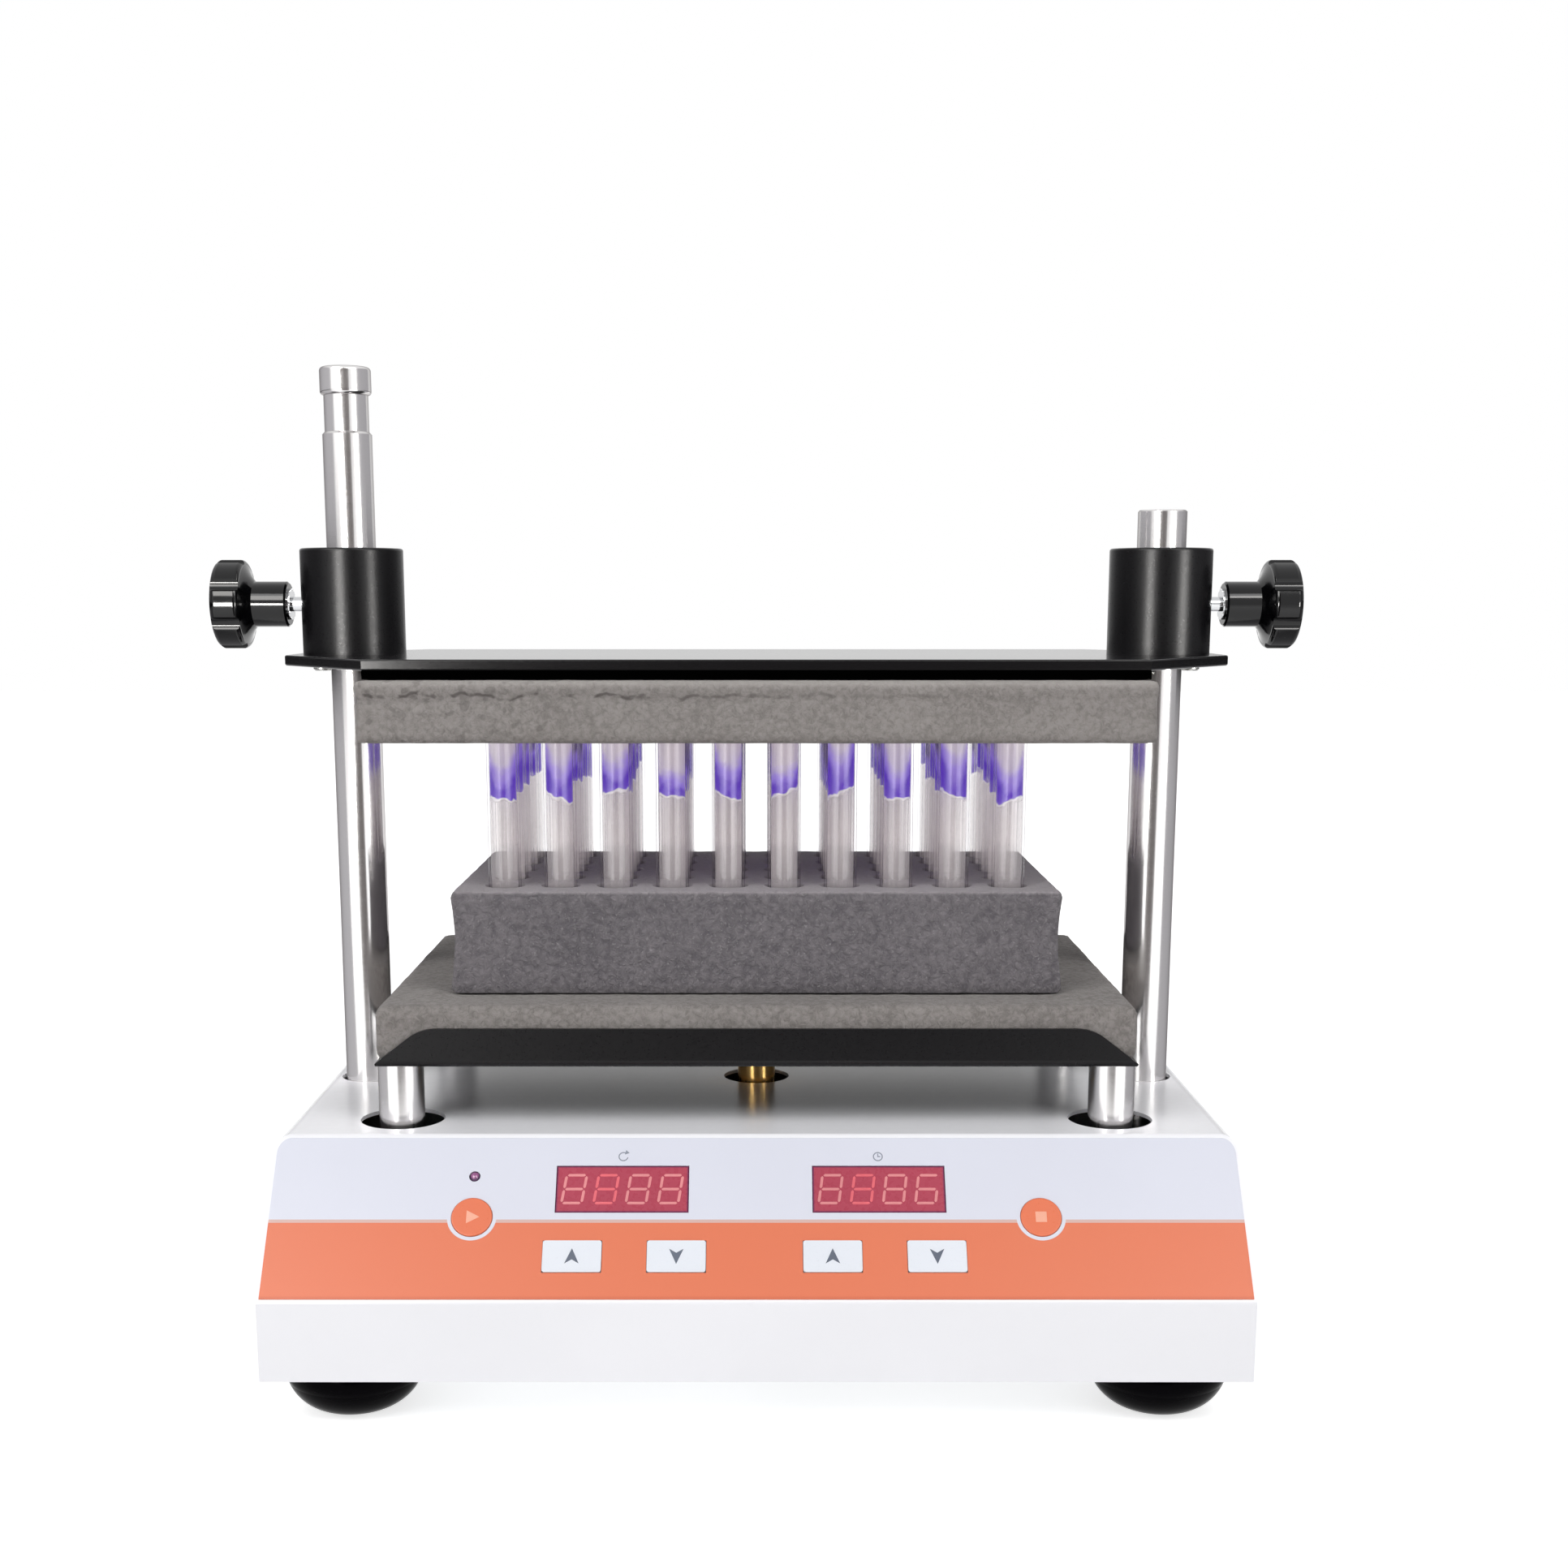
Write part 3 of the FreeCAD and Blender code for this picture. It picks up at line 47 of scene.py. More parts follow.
# Studio: a white sweep under and behind the machine, two weak soft boxes low in front, two strong ones high in
# front, and a ring of cards around the machine that only mirror-like surfaces show.
def add(material, kind, inputs=None, **settings):
    """Adds a shader node, with its settings, and with its inputs set or linked."""
    made = material.node_tree.nodes.new("ShaderNode" + kind)
    for name, value in settings.items():
        setattr(made, name, value)
    for name, value in (inputs or {}).items():
        if isinstance(value, bpy.types.NodeSocket):
            material.node_tree.links.new(value, made.inputs[name])
        else:
            made.inputs[name].default_value = value
    return made.outputs[0] if made.outputs else None


def reckon(material, what, *terms):
    """One step of arithmetic between sockets and numbers."""
    return add(material, "Math", dict(enumerate(terms)), operation=what)


def between(material, value, low, high, start=0.0, end=1.0):
    """Goes softly from start to end as value goes from low to high."""
    limits = {"Value": value, "From Min": low, "From Max": high, "To Min": start, "To Max": end}
    return add(material, "MapRange", limits, interpolation_type="SMOOTHSTEP")


def mixed(material, share, first, second):
    """The first colour where share is 0, and the second where it is 1."""
    return add(material, "MixRGB", {"Fac": share, "Color1": first, "Color2": second})


def tone(red, green, blue):
    """A colour as a picker on screen gives it, 0 to 255."""
    shares = [value / 255 for value in (red, green, blue)]
    return (*(((c + 0.055) / 1.055) ** 2.4 if c > 10 / 255 else c / 12.92 for c in shares), 1.0)


def places(material):
    """The point's place on the machine, in metres."""
    add(material, "TexCoord")
    return material.node_tree.nodes[-1].outputs["Object"]


def seen_directly(material):
    """1 for what the camera sees, also in a mirror or through glass, 0 for what lights a matt surface."""
    add(material, "LightPath")
    rays = material.node_tree.nodes[-1].outputs
    direct = reckon(material, "MAXIMUM", rays["Is Camera Ray"], rays["Is Glossy Ray"])
    return reckon(material, "MAXIMUM", direct, rays["Is Transmission Ray"])


floor_half = 6.0
floor_glow = 0.72
floor_near = 0.45
floor_far = 1.3
bpy.ops.object.select_all(action="DESELECT")
bpy.ops.mesh.primitive_plane_add(size=2 * floor_half, location=(0, 0, 0))
floor = bpy.context.object
floor.name = "studio_floor"
floor_white = bpy.data.materials.new("studio_floor_white")
floor_white.use_nodes = True
floor_white.node_tree.nodes.clear()
add(floor_white, "VectorMath", {0: places(floor_white)}, operation="LENGTH")
away = floor_white.node_tree.nodes[-1].outputs["Value"]
floor_level = between(floor_white, away, floor_near, floor_far, floor_glow, 1.0)
floor_light = reckon(floor_white, "MULTIPLY", floor_level, seen_directly(floor_white))
floor_paper = add(floor_white, "BsdfDiffuse", {"Color": (0.82, 0.82, 0.82, 1)})
floor_shine = add(floor_white, "Emission", {"Strength": floor_light})
floor_skin = add(floor_white, "AddShader", {0: floor_paper, 1: floor_shine})
add(floor_white, "OutputMaterial", {"Surface": floor_skin})
floor.data.materials.append(floor_white)

room_light = 0.3
room = bpy.data.worlds.new("white_room")
bpy.context.scene.world = room
room.use_nodes = True
room_level = between(room, seen_directly(room), 0.0, 1.0, room_light, 1.0)
room_back = room.node_tree.nodes["Background"]
room_back.inputs["Color"].default_value = (1, 1, 1, 1)
room.node_tree.links.new(room_level, room_back.inputs["Strength"])


def soft_box(name, place, aim, width, height, power):
    """A soft box of that size in metres and power in watts, turned to its aim."""
    lamp = bpy.data.lights.new(name, "AREA")
    lamp.shape = "RECTANGLE"
    lamp.size = width
    lamp.size_y = height
    lamp.energy = power
    box = bpy.data.objects.new(name, lamp)
    bpy.context.scene.collection.objects.link(box)
    box.location = place
    box.rotation_euler = (Vector(aim) - Vector(place)).to_track_quat("-Z", "Y").to_euler()


soft_box("soft_box_left", (-1.25, -1.2, 0.9), (0, 0, 0.15), 0.7, 0.9, 1.2)
soft_box("soft_box_right", (1.25, -1.2, 0.9), (0, 0, 0.15), 0.7, 0.9, 0.8)
soft_box("soft_box_high_left", (-0.95, -1.05, 1.3), (0, -0.1, 0.1), 0.95, 0.95, 13.8)
soft_box("soft_box_high_right", (0.95, -1.05, 1.3), (0, -0.1, 0.1), 0.95, 0.95, 12.2)

card_height = 1.1
card_ring = 1.15
card_foot = 0.27
floor_gap = 0.0006
fold_gap = 0.0007


def card(name, start, end, shade, strength=1.0, low=0.0, high=card_height, foot=card_foot, ring=card_ring):
    """A card that stands between two bearings, 0 being the front. One that stands on the floor also lies on it,
    from the machine outwards. Only mirror-like surfaces show it."""
    middle = math.radians((start + end) / 2)
    half = math.tan(math.radians((end - start) / 2))
    foot = ring if low else foot
    bpy.ops.object.select_all(action="DESELECT")
    bpy.ops.mesh.primitive_grid_add(x_subdivisions=1, y_subdivisions=2, size=2)
    made = bpy.context.object
    made.name = name
    levels = {-1: (foot, low + floor_gap), 0: (ring, low + fold_gap), 1: (ring, high)}
    for corner in made.data.vertices:
        reach, height = levels[round(corner.co.y)]
        aside = reach * half * math.copysign(1, corner.co.x)
        corner.co = Matrix.Rotation(middle, 3, "Z") @ Vector((aside, -reach, height))
    paper = bpy.data.materials.new(name)
    paper.use_nodes = True
    paper.node_tree.nodes.clear()
    light = add(paper, "Emission", {"Color": shade, "Strength": strength})
    add(paper, "OutputMaterial", {"Surface": light})
    made.data.materials.append(paper)
    made.visible_camera = False
    made.visible_diffuse = False
    made.visible_transmission = False
    made.visible_shadow = False


strip_white = tone(255, 253, 250)
strip_low = 0.22
strip_high = 0.37
near_ring = 1.1
card("card_front", -19, 19, tone(118, 113, 112), foot=0.5)
card("card_left", -140, -62, tone(201, 200, 203))
card("card_right", 62, 140, tone(187, 186, 189))
card("strip_left", -33, -19, strip_white, 60.0, low=strip_low, high=strip_high, ring=near_ring)
card("strip_right", 42, 56, strip_white, 40.0, low=strip_low, high=strip_high, ring=near_ring)
card("strip_high_left", -50, -8, strip_white, 12.0, low=0.72, high=1.26)
card("strip_high_right", 4, 44, strip_white, 14.0, low=0.98, high=1.24)
dark_cloth = tone(14, 13, 14)
dark_low = 0.23
dark_high = 0.345
card("dark_left", -165, -38, dark_cloth, low=dark_low, high=dark_high, ring=near_ring)
card("dark_right", 60, 165, dark_cloth, low=dark_low, high=dark_high, ring=near_ring)

# Camera: it stands in front of the middle of the machine and looks down on it a little. Its place, lens and shift
# were fitted to points of the photo. Light passes through all the walls of fifty tubes behind one another.
camera_down = 10.6
glass_passes = 64
camera_data = bpy.data.cameras.new("photo_camera")
camera = bpy.data.objects.new("photo_camera", camera_data)
bpy.context.scene.collection.objects.link(camera)
camera_data.sensor_width = 36
camera_data.lens = 45.889
camera_data.shift_x = 0.0176
camera_data.shift_y = 0.12076
camera_data.clip_start = 0.01
camera.location = (0, -0.8231, 0.3067)
camera.rotation_euler = (math.radians(90 - camera_down), 0, 0)
bpy.context.scene.camera = camera
bpy.context.scene.view_settings.view_transform = "Standard"
bpy.context.scene.cycles.transparent_max_bounces = glass_passes


# Housing: a bent and welded sheet steel cover, sprayed with white enamel, over a zinc-plated base plate with
# turned-up edges. Four screws hold the plate, and four domed rubber feet are screwed under it.
def finish(name, colour, roughness, metal=0.0, drift=0.05, grain=600.0, relief=0.01, run=(1, 1, 1), **more):
    """A material on one Principled shader. Its tone and gloss drift a little over the piece. Grain is the number of
    its grains in a metre and relief their height in millimetres, and run stretches them along an axis."""
    material = bpy.data.materials.new(name)
    material.use_nodes = True
    shader = material.node_tree.nodes["Principled BSDF"]
    spot = places(material)
    cloud = add(material, "TexNoise", {"Vector": spot, "Scale": 14.0, "Detail": 4.0})
    worn = tuple(c * (1 - drift) for c in colour[:3]) + (1.0,)
    patch = between(material, cloud, 0.35, 0.65)
    along = add(material, "Mapping", {"Vector": spot, "Scale": run})
    fine = add(material, "TexNoise", {"Vector": along, "Scale": grain, "Detail": 2.0})
    gloss = reckon(material, "MULTIPLY_ADD", fine, roughness * 0.5, roughness * 0.75)
    lumps = add(material, "Bump", {"Height": fine, "Strength": 1.0, "Distance": relief * mm})
    wires = {"Base Color": mixed(material, patch, colour, worn), "Roughness": gloss, "Normal": lumps}
    for socket, value in wires.items():
        material.node_tree.links.new(value, shader.inputs[socket])
    shader.inputs["Metallic"].default_value = metal
    for socket, value in more.items():
        shader.inputs[socket.replace("_", " ")].default_value = value
    return material


def recolour(material, colour):
    """Gives a material another pattern of colour than its own drift."""
    shader = material.node_tree.nodes["Principled BSDF"]
    material.node_tree.links.new(colour, shader.inputs["Base Color"])


def own_colour(material):
    """The drifting colour that a material already has."""
    return material.node_tree.nodes["Principled BSDF"].inputs["Base Color"].links[0].from_socket


def dress(material, *names):
    """Gives CAD pieces their material."""
    for name in names:
        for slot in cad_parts[name].material_slots:
            slot.material = material


white_enamel = finish("white_enamel", tone(250, 250, 254), 0.24, drift=0.02, grain=260, relief=0.006,
                      Specular_IOR_Level=0.3)
dress(white_enamel, "cover_shell")
zinc_sheet = finish("zinc_sheet", tone(176, 180, 184), 0.34, 1.0, drift=0.25, grain=120, relief=0.004)
dress(zinc_sheet, "base_plate")
zinc_screw = finish("zinc_screw", tone(196, 196, 192), 0.28, 1.0, drift=0.15, grain=900, relief=0.006)
dress(zinc_screw, "cover_screws", "foot_screws")
foot_rubber = finish("foot_rubber", tone(5, 4, 7), 0.16, drift=0.2, grain=1400, relief=0.004,
                     Specular_IOR_Level=0.02)
dress(foot_rubber, "foot_front_left", "foot_rear_left", "foot_front_right", "foot_rear_right")


# Control panel: a printed polycarbonate foil glued on the slope, white above and orange below, with windows for
# two four-digit displays and a status light, and holes for four keys and two round buttons.
slope_angle = math.radians(50.30)
slope_top_y = -77.098
slope_top_z = 104.0
foil_thick = 0.4
foil_low = 66.9
orange_start = 35.4
orange_line = 1.3
button_x = 107.3
button_s = 34.5
button_ring = 9.3
print_blur = 0.12
# Where painted shade begins and ends towards the foil's lower edge, in millimetres above that edge.
shade_edge_start = 1.6
shade_edge_end = 0.4


def on_slope(x, s, h):
    """The place and turn of something x across the panel, s down its slope and h above its sheet, in millimetres."""
    run, fall = math.cos(slope_angle), math.sin(slope_angle)
    spot = Vector((x, slope_top_y - s * run - h * fall, slope_top_z - s * fall + h * run)) * mm
    return Matrix.Translation(spot) @ Matrix.Rotation(slope_angle, 4, "X")


def panel_place(material, h):
    """Sockets with the distance across the panel and the distance down its slope, in metres."""
    add(material, "SeparateXYZ", {"Vector": places(material)})
    parts = material.node_tree.nodes[-1].outputs
    fall = math.sin(slope_angle)
    start = (slope_top_z + h * math.cos(slope_angle)) * mm / fall
    return parts["X"], reckon(material, "MULTIPLY_ADD", parts["Z"], -1 / fall, start)


def softly(material, value, edge, blur=print_blur):
    """A printed edge: 0 below that distance in millimetres and 1 above it."""
    return between(material, value, (edge - blur) * mm, (edge + blur) * mm)


def distance_to(material, across, down):
    """How far a point is from where both distances are 0."""
    squares = [reckon(material, "MULTIPLY", value, value) for value in (across, down)]
    return reckon(material, "SQRT", reckon(material, "ADD", *squares))


panel_foil = finish("panel_foil", tone(220, 222, 234), 0.36, drift=0.015, grain=2400, relief=0.004,
                    Specular_IOR_Level=0.25)
across, down = panel_place(panel_foil, foil_thick)
band = softly(panel_foil, down, orange_start)
line_end = softly(panel_foil, down, orange_start + orange_line)
# Painted shade: the orange is painted darker towards the foil's lower edge, where the slope bends into the skirt.
low_edge_shade = between(panel_foil, down, (foil_low - shade_edge_start) * mm, (foil_low - shade_edge_end) * mm, 0.0, 0.35)
to_side = reckon(panel_foil, "SUBTRACT", reckon(panel_foil, "ABSOLUTE", across), button_x * mm)
to_low = reckon(panel_foil, "SUBTRACT", down, button_s * mm)
ring = softly(panel_foil, distance_to(panel_foil, to_side, to_low), button_ring)
orange_shade = mixed(panel_foil, low_edge_shade, tone(225, 120, 84), tone(194, 90, 60))
banded = mixed(panel_foil, line_end, tone(214, 178, 170), orange_shade)
inked = reckon(panel_foil, "MULTIPLY", band, ring)
recolour(panel_foil, mixed(panel_foil, inked, own_colour(panel_foil), banded))
dress(panel_foil, "panel_foil")

orange_button = finish("orange_button", tone(232, 119, 80), 0.3, drift=0.04, grain=1500, relief=0.004,
                       Specular_IOR_Level=0.3)
dress(orange_button, "button_start", "button_stop")
white_key = finish("white_key", tone(228, 232, 240), 0.3, drift=0.02, grain=1500, relief=0.004)
dress(white_key, "key_speed_up", "key_speed_down", "key_time_up", "key_time_down")

light_x = -107.3
light_s = 17.8
light_top = 1.2
light_core = 1.5
light_lit = tone(156, 88, 140)
status_light = finish("status_light", light_lit, 0.2, Coat_Weight=0.6)
across, down = panel_place(status_light, light_top)
aside = reckon(status_light, "SUBTRACT", across, light_x * mm)
below = reckon(status_light, "SUBTRACT", down, light_s * mm)
light_rim = softly(status_light, distance_to(status_light, aside, below), light_core, 0.3)
recolour(status_light, mixed(status_light, light_rim, light_lit, tone(84, 42, 88)))
dress(status_light, "status_led")

display_half_width = 25.15
display_half_height = 9.5
display_s = 23.0
display_face = 0.3
display_rim = 0.9
display_rim_dark = 0.3


def display_glass(name, middle_x):
    """The red filter of one display, darker and more purple along its rim."""
    glass = finish(name, tone(178, 68, 88), 0.28, drift=0.06, grain=500, relief=0.002, Specular_IOR_Level=0.2)
    rims = []
    across, down = panel_place(glass, display_face)
    aside = reckon(glass, "ABSOLUTE", reckon(glass, "SUBTRACT", across, middle_x * mm))
    below = reckon(glass, "ABSOLUTE", reckon(glass, "SUBTRACT", down, display_s * mm))
    for value, half in ((aside, display_half_width), (below, display_half_height)):
        rims.append(between(glass, value, (half - display_rim) * mm, (half - display_rim_dark) * mm))
    recolour(glass, mixed(glass, reckon(glass, "MAXIMUM", *rims), own_colour(glass), tone(122, 50, 86)))
    return glass


display_places = {"display_speed": -50.9, "display_time": 46.5}
for name, middle_x in display_places.items():
    dress(display_glass(name + "_glass", middle_x), name)


def lone(piece):
    """Makes a piece the only selected one."""
    bpy.ops.object.select_all(action="DESELECT")
    piece.select_set(True)
    bpy.context.view_layer.objects.active = piece


def shape_by(piece, kind, **settings):
    """Adds a modifier and applies it."""
    lone(piece)
    step = piece.modifiers.new(kind.lower(), kind)
    for name, value in settings.items():
        setattr(step, name, value)
    bpy.ops.object.modifier_apply(modifier=step.name)


def plate(name, outline, thick):
    """A flat plate of that outline, in millimetres, standing thick above its underside."""
    bpy.ops.object.select_all(action="DESELECT")
    bpy.ops.mesh.primitive_circle_add(vertices=len(outline), fill_type="NGON")
    made = bpy.context.object
    made.name = name
    for corner, (x, y) in zip(made.data.vertices, outline):
        corner.co = (x * mm, y * mm, 0)
    bpy.ops.object.mode_set(mode="EDIT")
    bpy.ops.mesh.select_all(action="SELECT")
    bpy.ops.mesh.normals_make_consistent(inside=False)
    bpy.ops.mesh.extrude_region_move(TRANSFORM_OT_translate={"value": (0, 0, thick * mm)})
    bpy.ops.mesh.select_all(action="SELECT")
    bpy.ops.mesh.normals_make_consistent(inside=False)
    bpy.ops.object.mode_set(mode="OBJECT")
    return made


def copy_of(piece, move):
    """Another piece with its own mesh, moved from the first one's place."""
    made = piece.copy()
    made.data = piece.data.copy()
    made.data.transform(move)
    bpy.context.scene.collection.objects.link(made)
    return made


def joined(name, pieces):
    """Several pieces made one."""
    lone(pieces[0])
    for piece in pieces:
        piece.select_set(True)
    bpy.ops.object.join()
    pieces[0].name = name
    return pieces[0]


def painted(piece, material, body):
    """Gives a new piece its material and the body that it moves with."""
    piece.data.materials.clear()
    piece.data.materials.append(material)
    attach(piece, body)
    return piece


# Digits: light-emitting bars behind the red filter of each display, seven to a figure. They show pale, or red
# where they are weaker, and lean a little to the right.
digit_pitch = 12.2
digit_width = 7.6
digit_height = 11.4
digit_lean = 8.0
bar_thick = 1.05
bar_relief = 0.08
bar_gap = 0.35
lit_bars = {"8": "abcdefg", "6": "acdefg"}
weak_figure = 1


def bar(length):
    """One bar with pointed ends."""
    half, tip = length / 2, bar_thick / 2
    lower = [(-half, 0), (tip - half, -tip), (half - tip, -tip)]
    upper = [(half, 0), (half - tip, tip), (tip - half, tip)]
    return plate("bar", lower + upper, bar_relief)


def figure(name, digit, place):
    """One figure out of its lit bars."""
    level = bar(digit_width - 2 * bar_gap)
    upright = bar(digit_height / 2 - 2 * bar_gap)
    upright.data.transform(Matrix.Rotation(math.pi / 2, 4, "Z"))
    half, quarter = digit_height / 2 * mm, digit_height / 4 * mm
    side = digit_width / 2 * mm
    spots = {"a": (level, 0, half), "g": (level, 0, 0), "d": (level, 0, -half), "b": (upright, side, quarter),
             "c": (upright, side, -quarter), "e": (upright, -side, -quarter), "f": (upright, -side, quarter)}
    bars = []
    for key in lit_bars[digit]:
        model, x, y = spots[key]
        bars.append(copy_of(model, Matrix.Translation((x, y, 0))))
    for model in (level, upright):
        bpy.data.objects.remove(model)
    made = joined(name, bars)
    lean = Matrix.Identity(4)
    lean[0][1] = math.tan(math.radians(digit_lean))
    made.data.transform(place @ lean)
    return made


digit_pale = finish("digit_pale", tone(222, 128, 132), 0.4, drift=0.12, grain=900)
digit_red = finish("digit_red", tone(226, 84, 98), 0.4, drift=0.12, grain=900)
for name, shown in (("display_speed", "8888"), ("display_time", "8886")):
    for index, digit in enumerate(shown):
        x = display_places[name] + (index - 1.5) * digit_pitch
        made = figure(f"{name}_figure_{index + 1}", digit, on_slope(x, display_s, display_face))
        painted(made, digit_red if index == weak_figure else digit_pale, "base")

# Marks: a notched arrowhead on each key, a triangle and a square on the round buttons, and above the displays
# a turning arrow for the speed and a clock face for the time, all printed in one thin layer.
print_thick = 0.06
key_top = 0.9
key_s = 50.2
key_group_x = {"speed": -49.4, "time": 48.0}
key_half_gap = 19.5
print_grey = finish("print_grey", tone(66, 76, 96), 0.5, drift=0.1, grain=1500)
print_pale = finish("print_pale", tone(246, 170, 140), 0.5, drift=0.1, grain=1500)
arrowhead = [(0, 3.1), (-2.7, -2.9), (0, -1.3), (2.7, -2.9)]
for group, group_x in key_group_x.items():
    for way, side in (("up", -1), ("down", 1)):
        mark = plate(f"mark_{group}_{way}", arrowhead, print_thick)
        turn = Matrix.Rotation(0 if way == "up" else math.pi, 4, "Z")
        mark.data.transform(on_slope(group_x + side * key_half_gap, key_s, key_top) @ turn)
        painted(mark, print_grey, f"key_{group}_{way}")
triangle = [(-2.0, -2.6), (2.9, 0), (-2.0, 2.6)]
square = [(-2.1, -2.1), (2.1, -2.1), (2.1, 2.1), (-2.1, 2.1)]
for name, outline, side in (("start", triangle, -1), ("stop", square, 1)):
    mark = plate(f"mark_{name}", outline, print_thick)
    mark.data.transform(on_slope(side * button_x, button_s, key_top))
    painted(mark, print_pale, f"button_{name}")


def hoop(radius, width, start, end, steps=28):
    """The outline of a flat hoop or part of one, between two angles."""
    angles = [math.radians(start + (end - start) * i / steps) for i in range(steps + 1)]
    outer = [(radius * math.cos(a), radius * math.sin(a)) for a in angles]
    inner = [((radius - width) * math.cos(a), (radius - width) * math.sin(a)) for a in reversed(angles)]
    return outer + inner


sign_s = 9.6
sign_radius = 1.9
sign_line = 0.42
sign_grey = finish("sign_grey", tone(128, 134, 150), 0.5, drift=0.1, grain=1500)
turning = [plate("turning", hoop(sign_radius, sign_line, 60, 350), print_thick),
           plate("point", [(1.0, 2.7), (2.3, 1.5), (0.5, 0.9)], print_thick)]
sign = joined("sign_speed", turning)
sign.data.transform(on_slope(display_places["display_speed"], sign_s, foil_thick))
painted(sign, sign_grey, "base")
clock = [plate("rim", hoop(sign_radius, sign_line, 0.5, 359.5), print_thick),
         plate("minutes", [(-0.2, -0.2), (0.2, -0.2), (0.2, 1.2), (-0.2, 1.2)], print_thick),
         plate("hours", [(-0.2, -0.2), (0.9, -0.2), (0.9, 0.2), (-0.2, 0.2)], print_thick * 0.9)]
sign = joined("sign_time", clock)
sign.data.transform(on_slope(display_places["display_time"], sign_s, foil_thick))
painted(sign, sign_grey, "base")

# Drive: out of sight in the housing, a motor on its bent steel bridge turns a zinc eccentric in a roller bearing,
# which carries the enamelled swing plate round. Rubber mounts on aluminium pillars keep the plate from turning.
dress(zinc_sheet, "motor_bridge")
dress(zinc_screw, "bridge_screws", "plate_screws")
motor_enamel = finish("motor_enamel", tone(44, 46, 50), 0.36, drift=0.12, grain=900, relief=0.012)
dress(motor_enamel, "motor")
turned_aluminium = finish("turned_aluminium", tone(200, 202, 206), 0.26, 1.0, drift=0.08, grain=60, relief=0.003,
                          run=(1, 1, 40))
dress(turned_aluminium, "mount_pillars", "bearing_housing")
mount_rubber = finish("mount_rubber", tone(30, 30, 32), 0.6, drift=0.2, grain=1200, relief=0.02)
dress(mount_rubber, "rubber_mounts")
bearing_steel = finish("bearing_steel", tone(205, 206, 208), 0.14, 1.0, drift=0.05, grain=80, relief=0.001,
                       run=(1, 1, 40))
dress(bearing_steel, "motor_shaft", "bearing_inner", "bearing_outer_ring")
cast_zinc = finish("cast_zinc", tone(150, 152, 156), 0.5, 1.0, drift=0.2, grain=500, relief=0.03)
dress(cast_zinc, "eccentric")
black_enamel = finish("black_enamel", tone(10, 9, 12), 0.3, drift=0.12, grain=1300, relief=0.008,
                      Specular_IOR_Level=0.22)
dress(black_enamel, "swing_plate")

# Boards: green laminate with the parts soldered on. The control board hangs on rubber stand-offs behind the panel,
# with a switch under every key, and the power board with its transformer stands on the base plate.
board_green = finish("board_green", tone(30, 88, 58), 0.35, drift=0.1, grain=300, relief=0.02)
dress(board_green, "control_board", "power_board")
dress(mount_rubber, "board_standoffs")

# Posts: ground and polished steel rods, screwed to the swing plate. The left tall one has a neck and a cap,
# and a brass pillar stands in the middle under the tray.
polished_steel = finish("polished_steel", tone(224, 222, 222), 0.17, 1.0, drift=0.04, grain=40, relief=0.001,
                        run=(1, 1, 60), Specular_Tint=(0.42, 0.41, 0.41, 1))
dress(polished_steel, "short_posts", "tall_post_left", "tall_post_right", "post_cap")
brass = finish("brass", tone(196, 158, 96), 0.2, 1.0, drift=0.15, grain=60, relief=0.002, run=(1, 1, 50))
dress(brass, "centre_pillar")

# Tray: folded steel sheet with a flap along the front, in the same fine black enamel as the swing plate. Screws
# hold it down on the short posts.
dress(black_enamel, "tray")
dress(zinc_screw, "tray_screws")


# Liner: a slab of grey closed-cell foam, cut with a knife, that lies on the tray under the rack. Its skin is
# pebbled like those of the other foams, its edges have gone soft and round, and it sags at its free ends.
def slab(name, node, edge):
    """A block with rounded edges in the place of a CAD node."""
    low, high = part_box(node)
    bpy.ops.object.select_all(action="DESELECT")
    bpy.ops.mesh.primitive_cube_add(size=1, location=(low + high) / 2, scale=high - low)
    made = bpy.context.object
    made.name = name
    bpy.ops.object.transform_apply(location=True, rotation=True, scale=True)
    bpy.ops.object.mode_set(mode="EDIT")
    bpy.ops.mesh.select_all(action="SELECT")
    bpy.ops.mesh.bevel(offset=edge * mm, segments=4, affect="EDGES")
    bpy.ops.object.mode_set(mode="OBJECT")
    return made


def none_picked(piece, kind):
    """Leaves nothing of a piece selected, before edges or faces are picked by their place."""
    lone(piece)
    bpy.ops.object.mode_set(mode="EDIT")
    bpy.ops.mesh.select_mode(type=kind)
    bpy.ops.mesh.select_all(action="DESELECT")
    bpy.ops.object.mode_set(mode="OBJECT")


def press(piece, moves):
    """Moves the vertices, which moves gets and gives back as an array of places in millimetres."""
    points = np.empty(len(piece.data.vertices) * 3)
    piece.data.vertices.foreach_get("co", points)
    points = moves(points.reshape(-1, 3) / mm) * mm
    piece.data.vertices.foreach_set("co", points.ravel())
    piece.data.update()


def pebbled(piece, cell, height):
    """Raises lumps of that size and height over the whole skin."""
    lumps = bpy.data.textures.new(piece.name + "_lumps", "CLOUDS")
    lumps.noise_scale = cell * mm
    lumps.noise_depth = 2
    shape_by(piece, "DISPLACE", texture=lumps, strength=height * mm, mid_level=0.5, texture_coords="LOCAL")


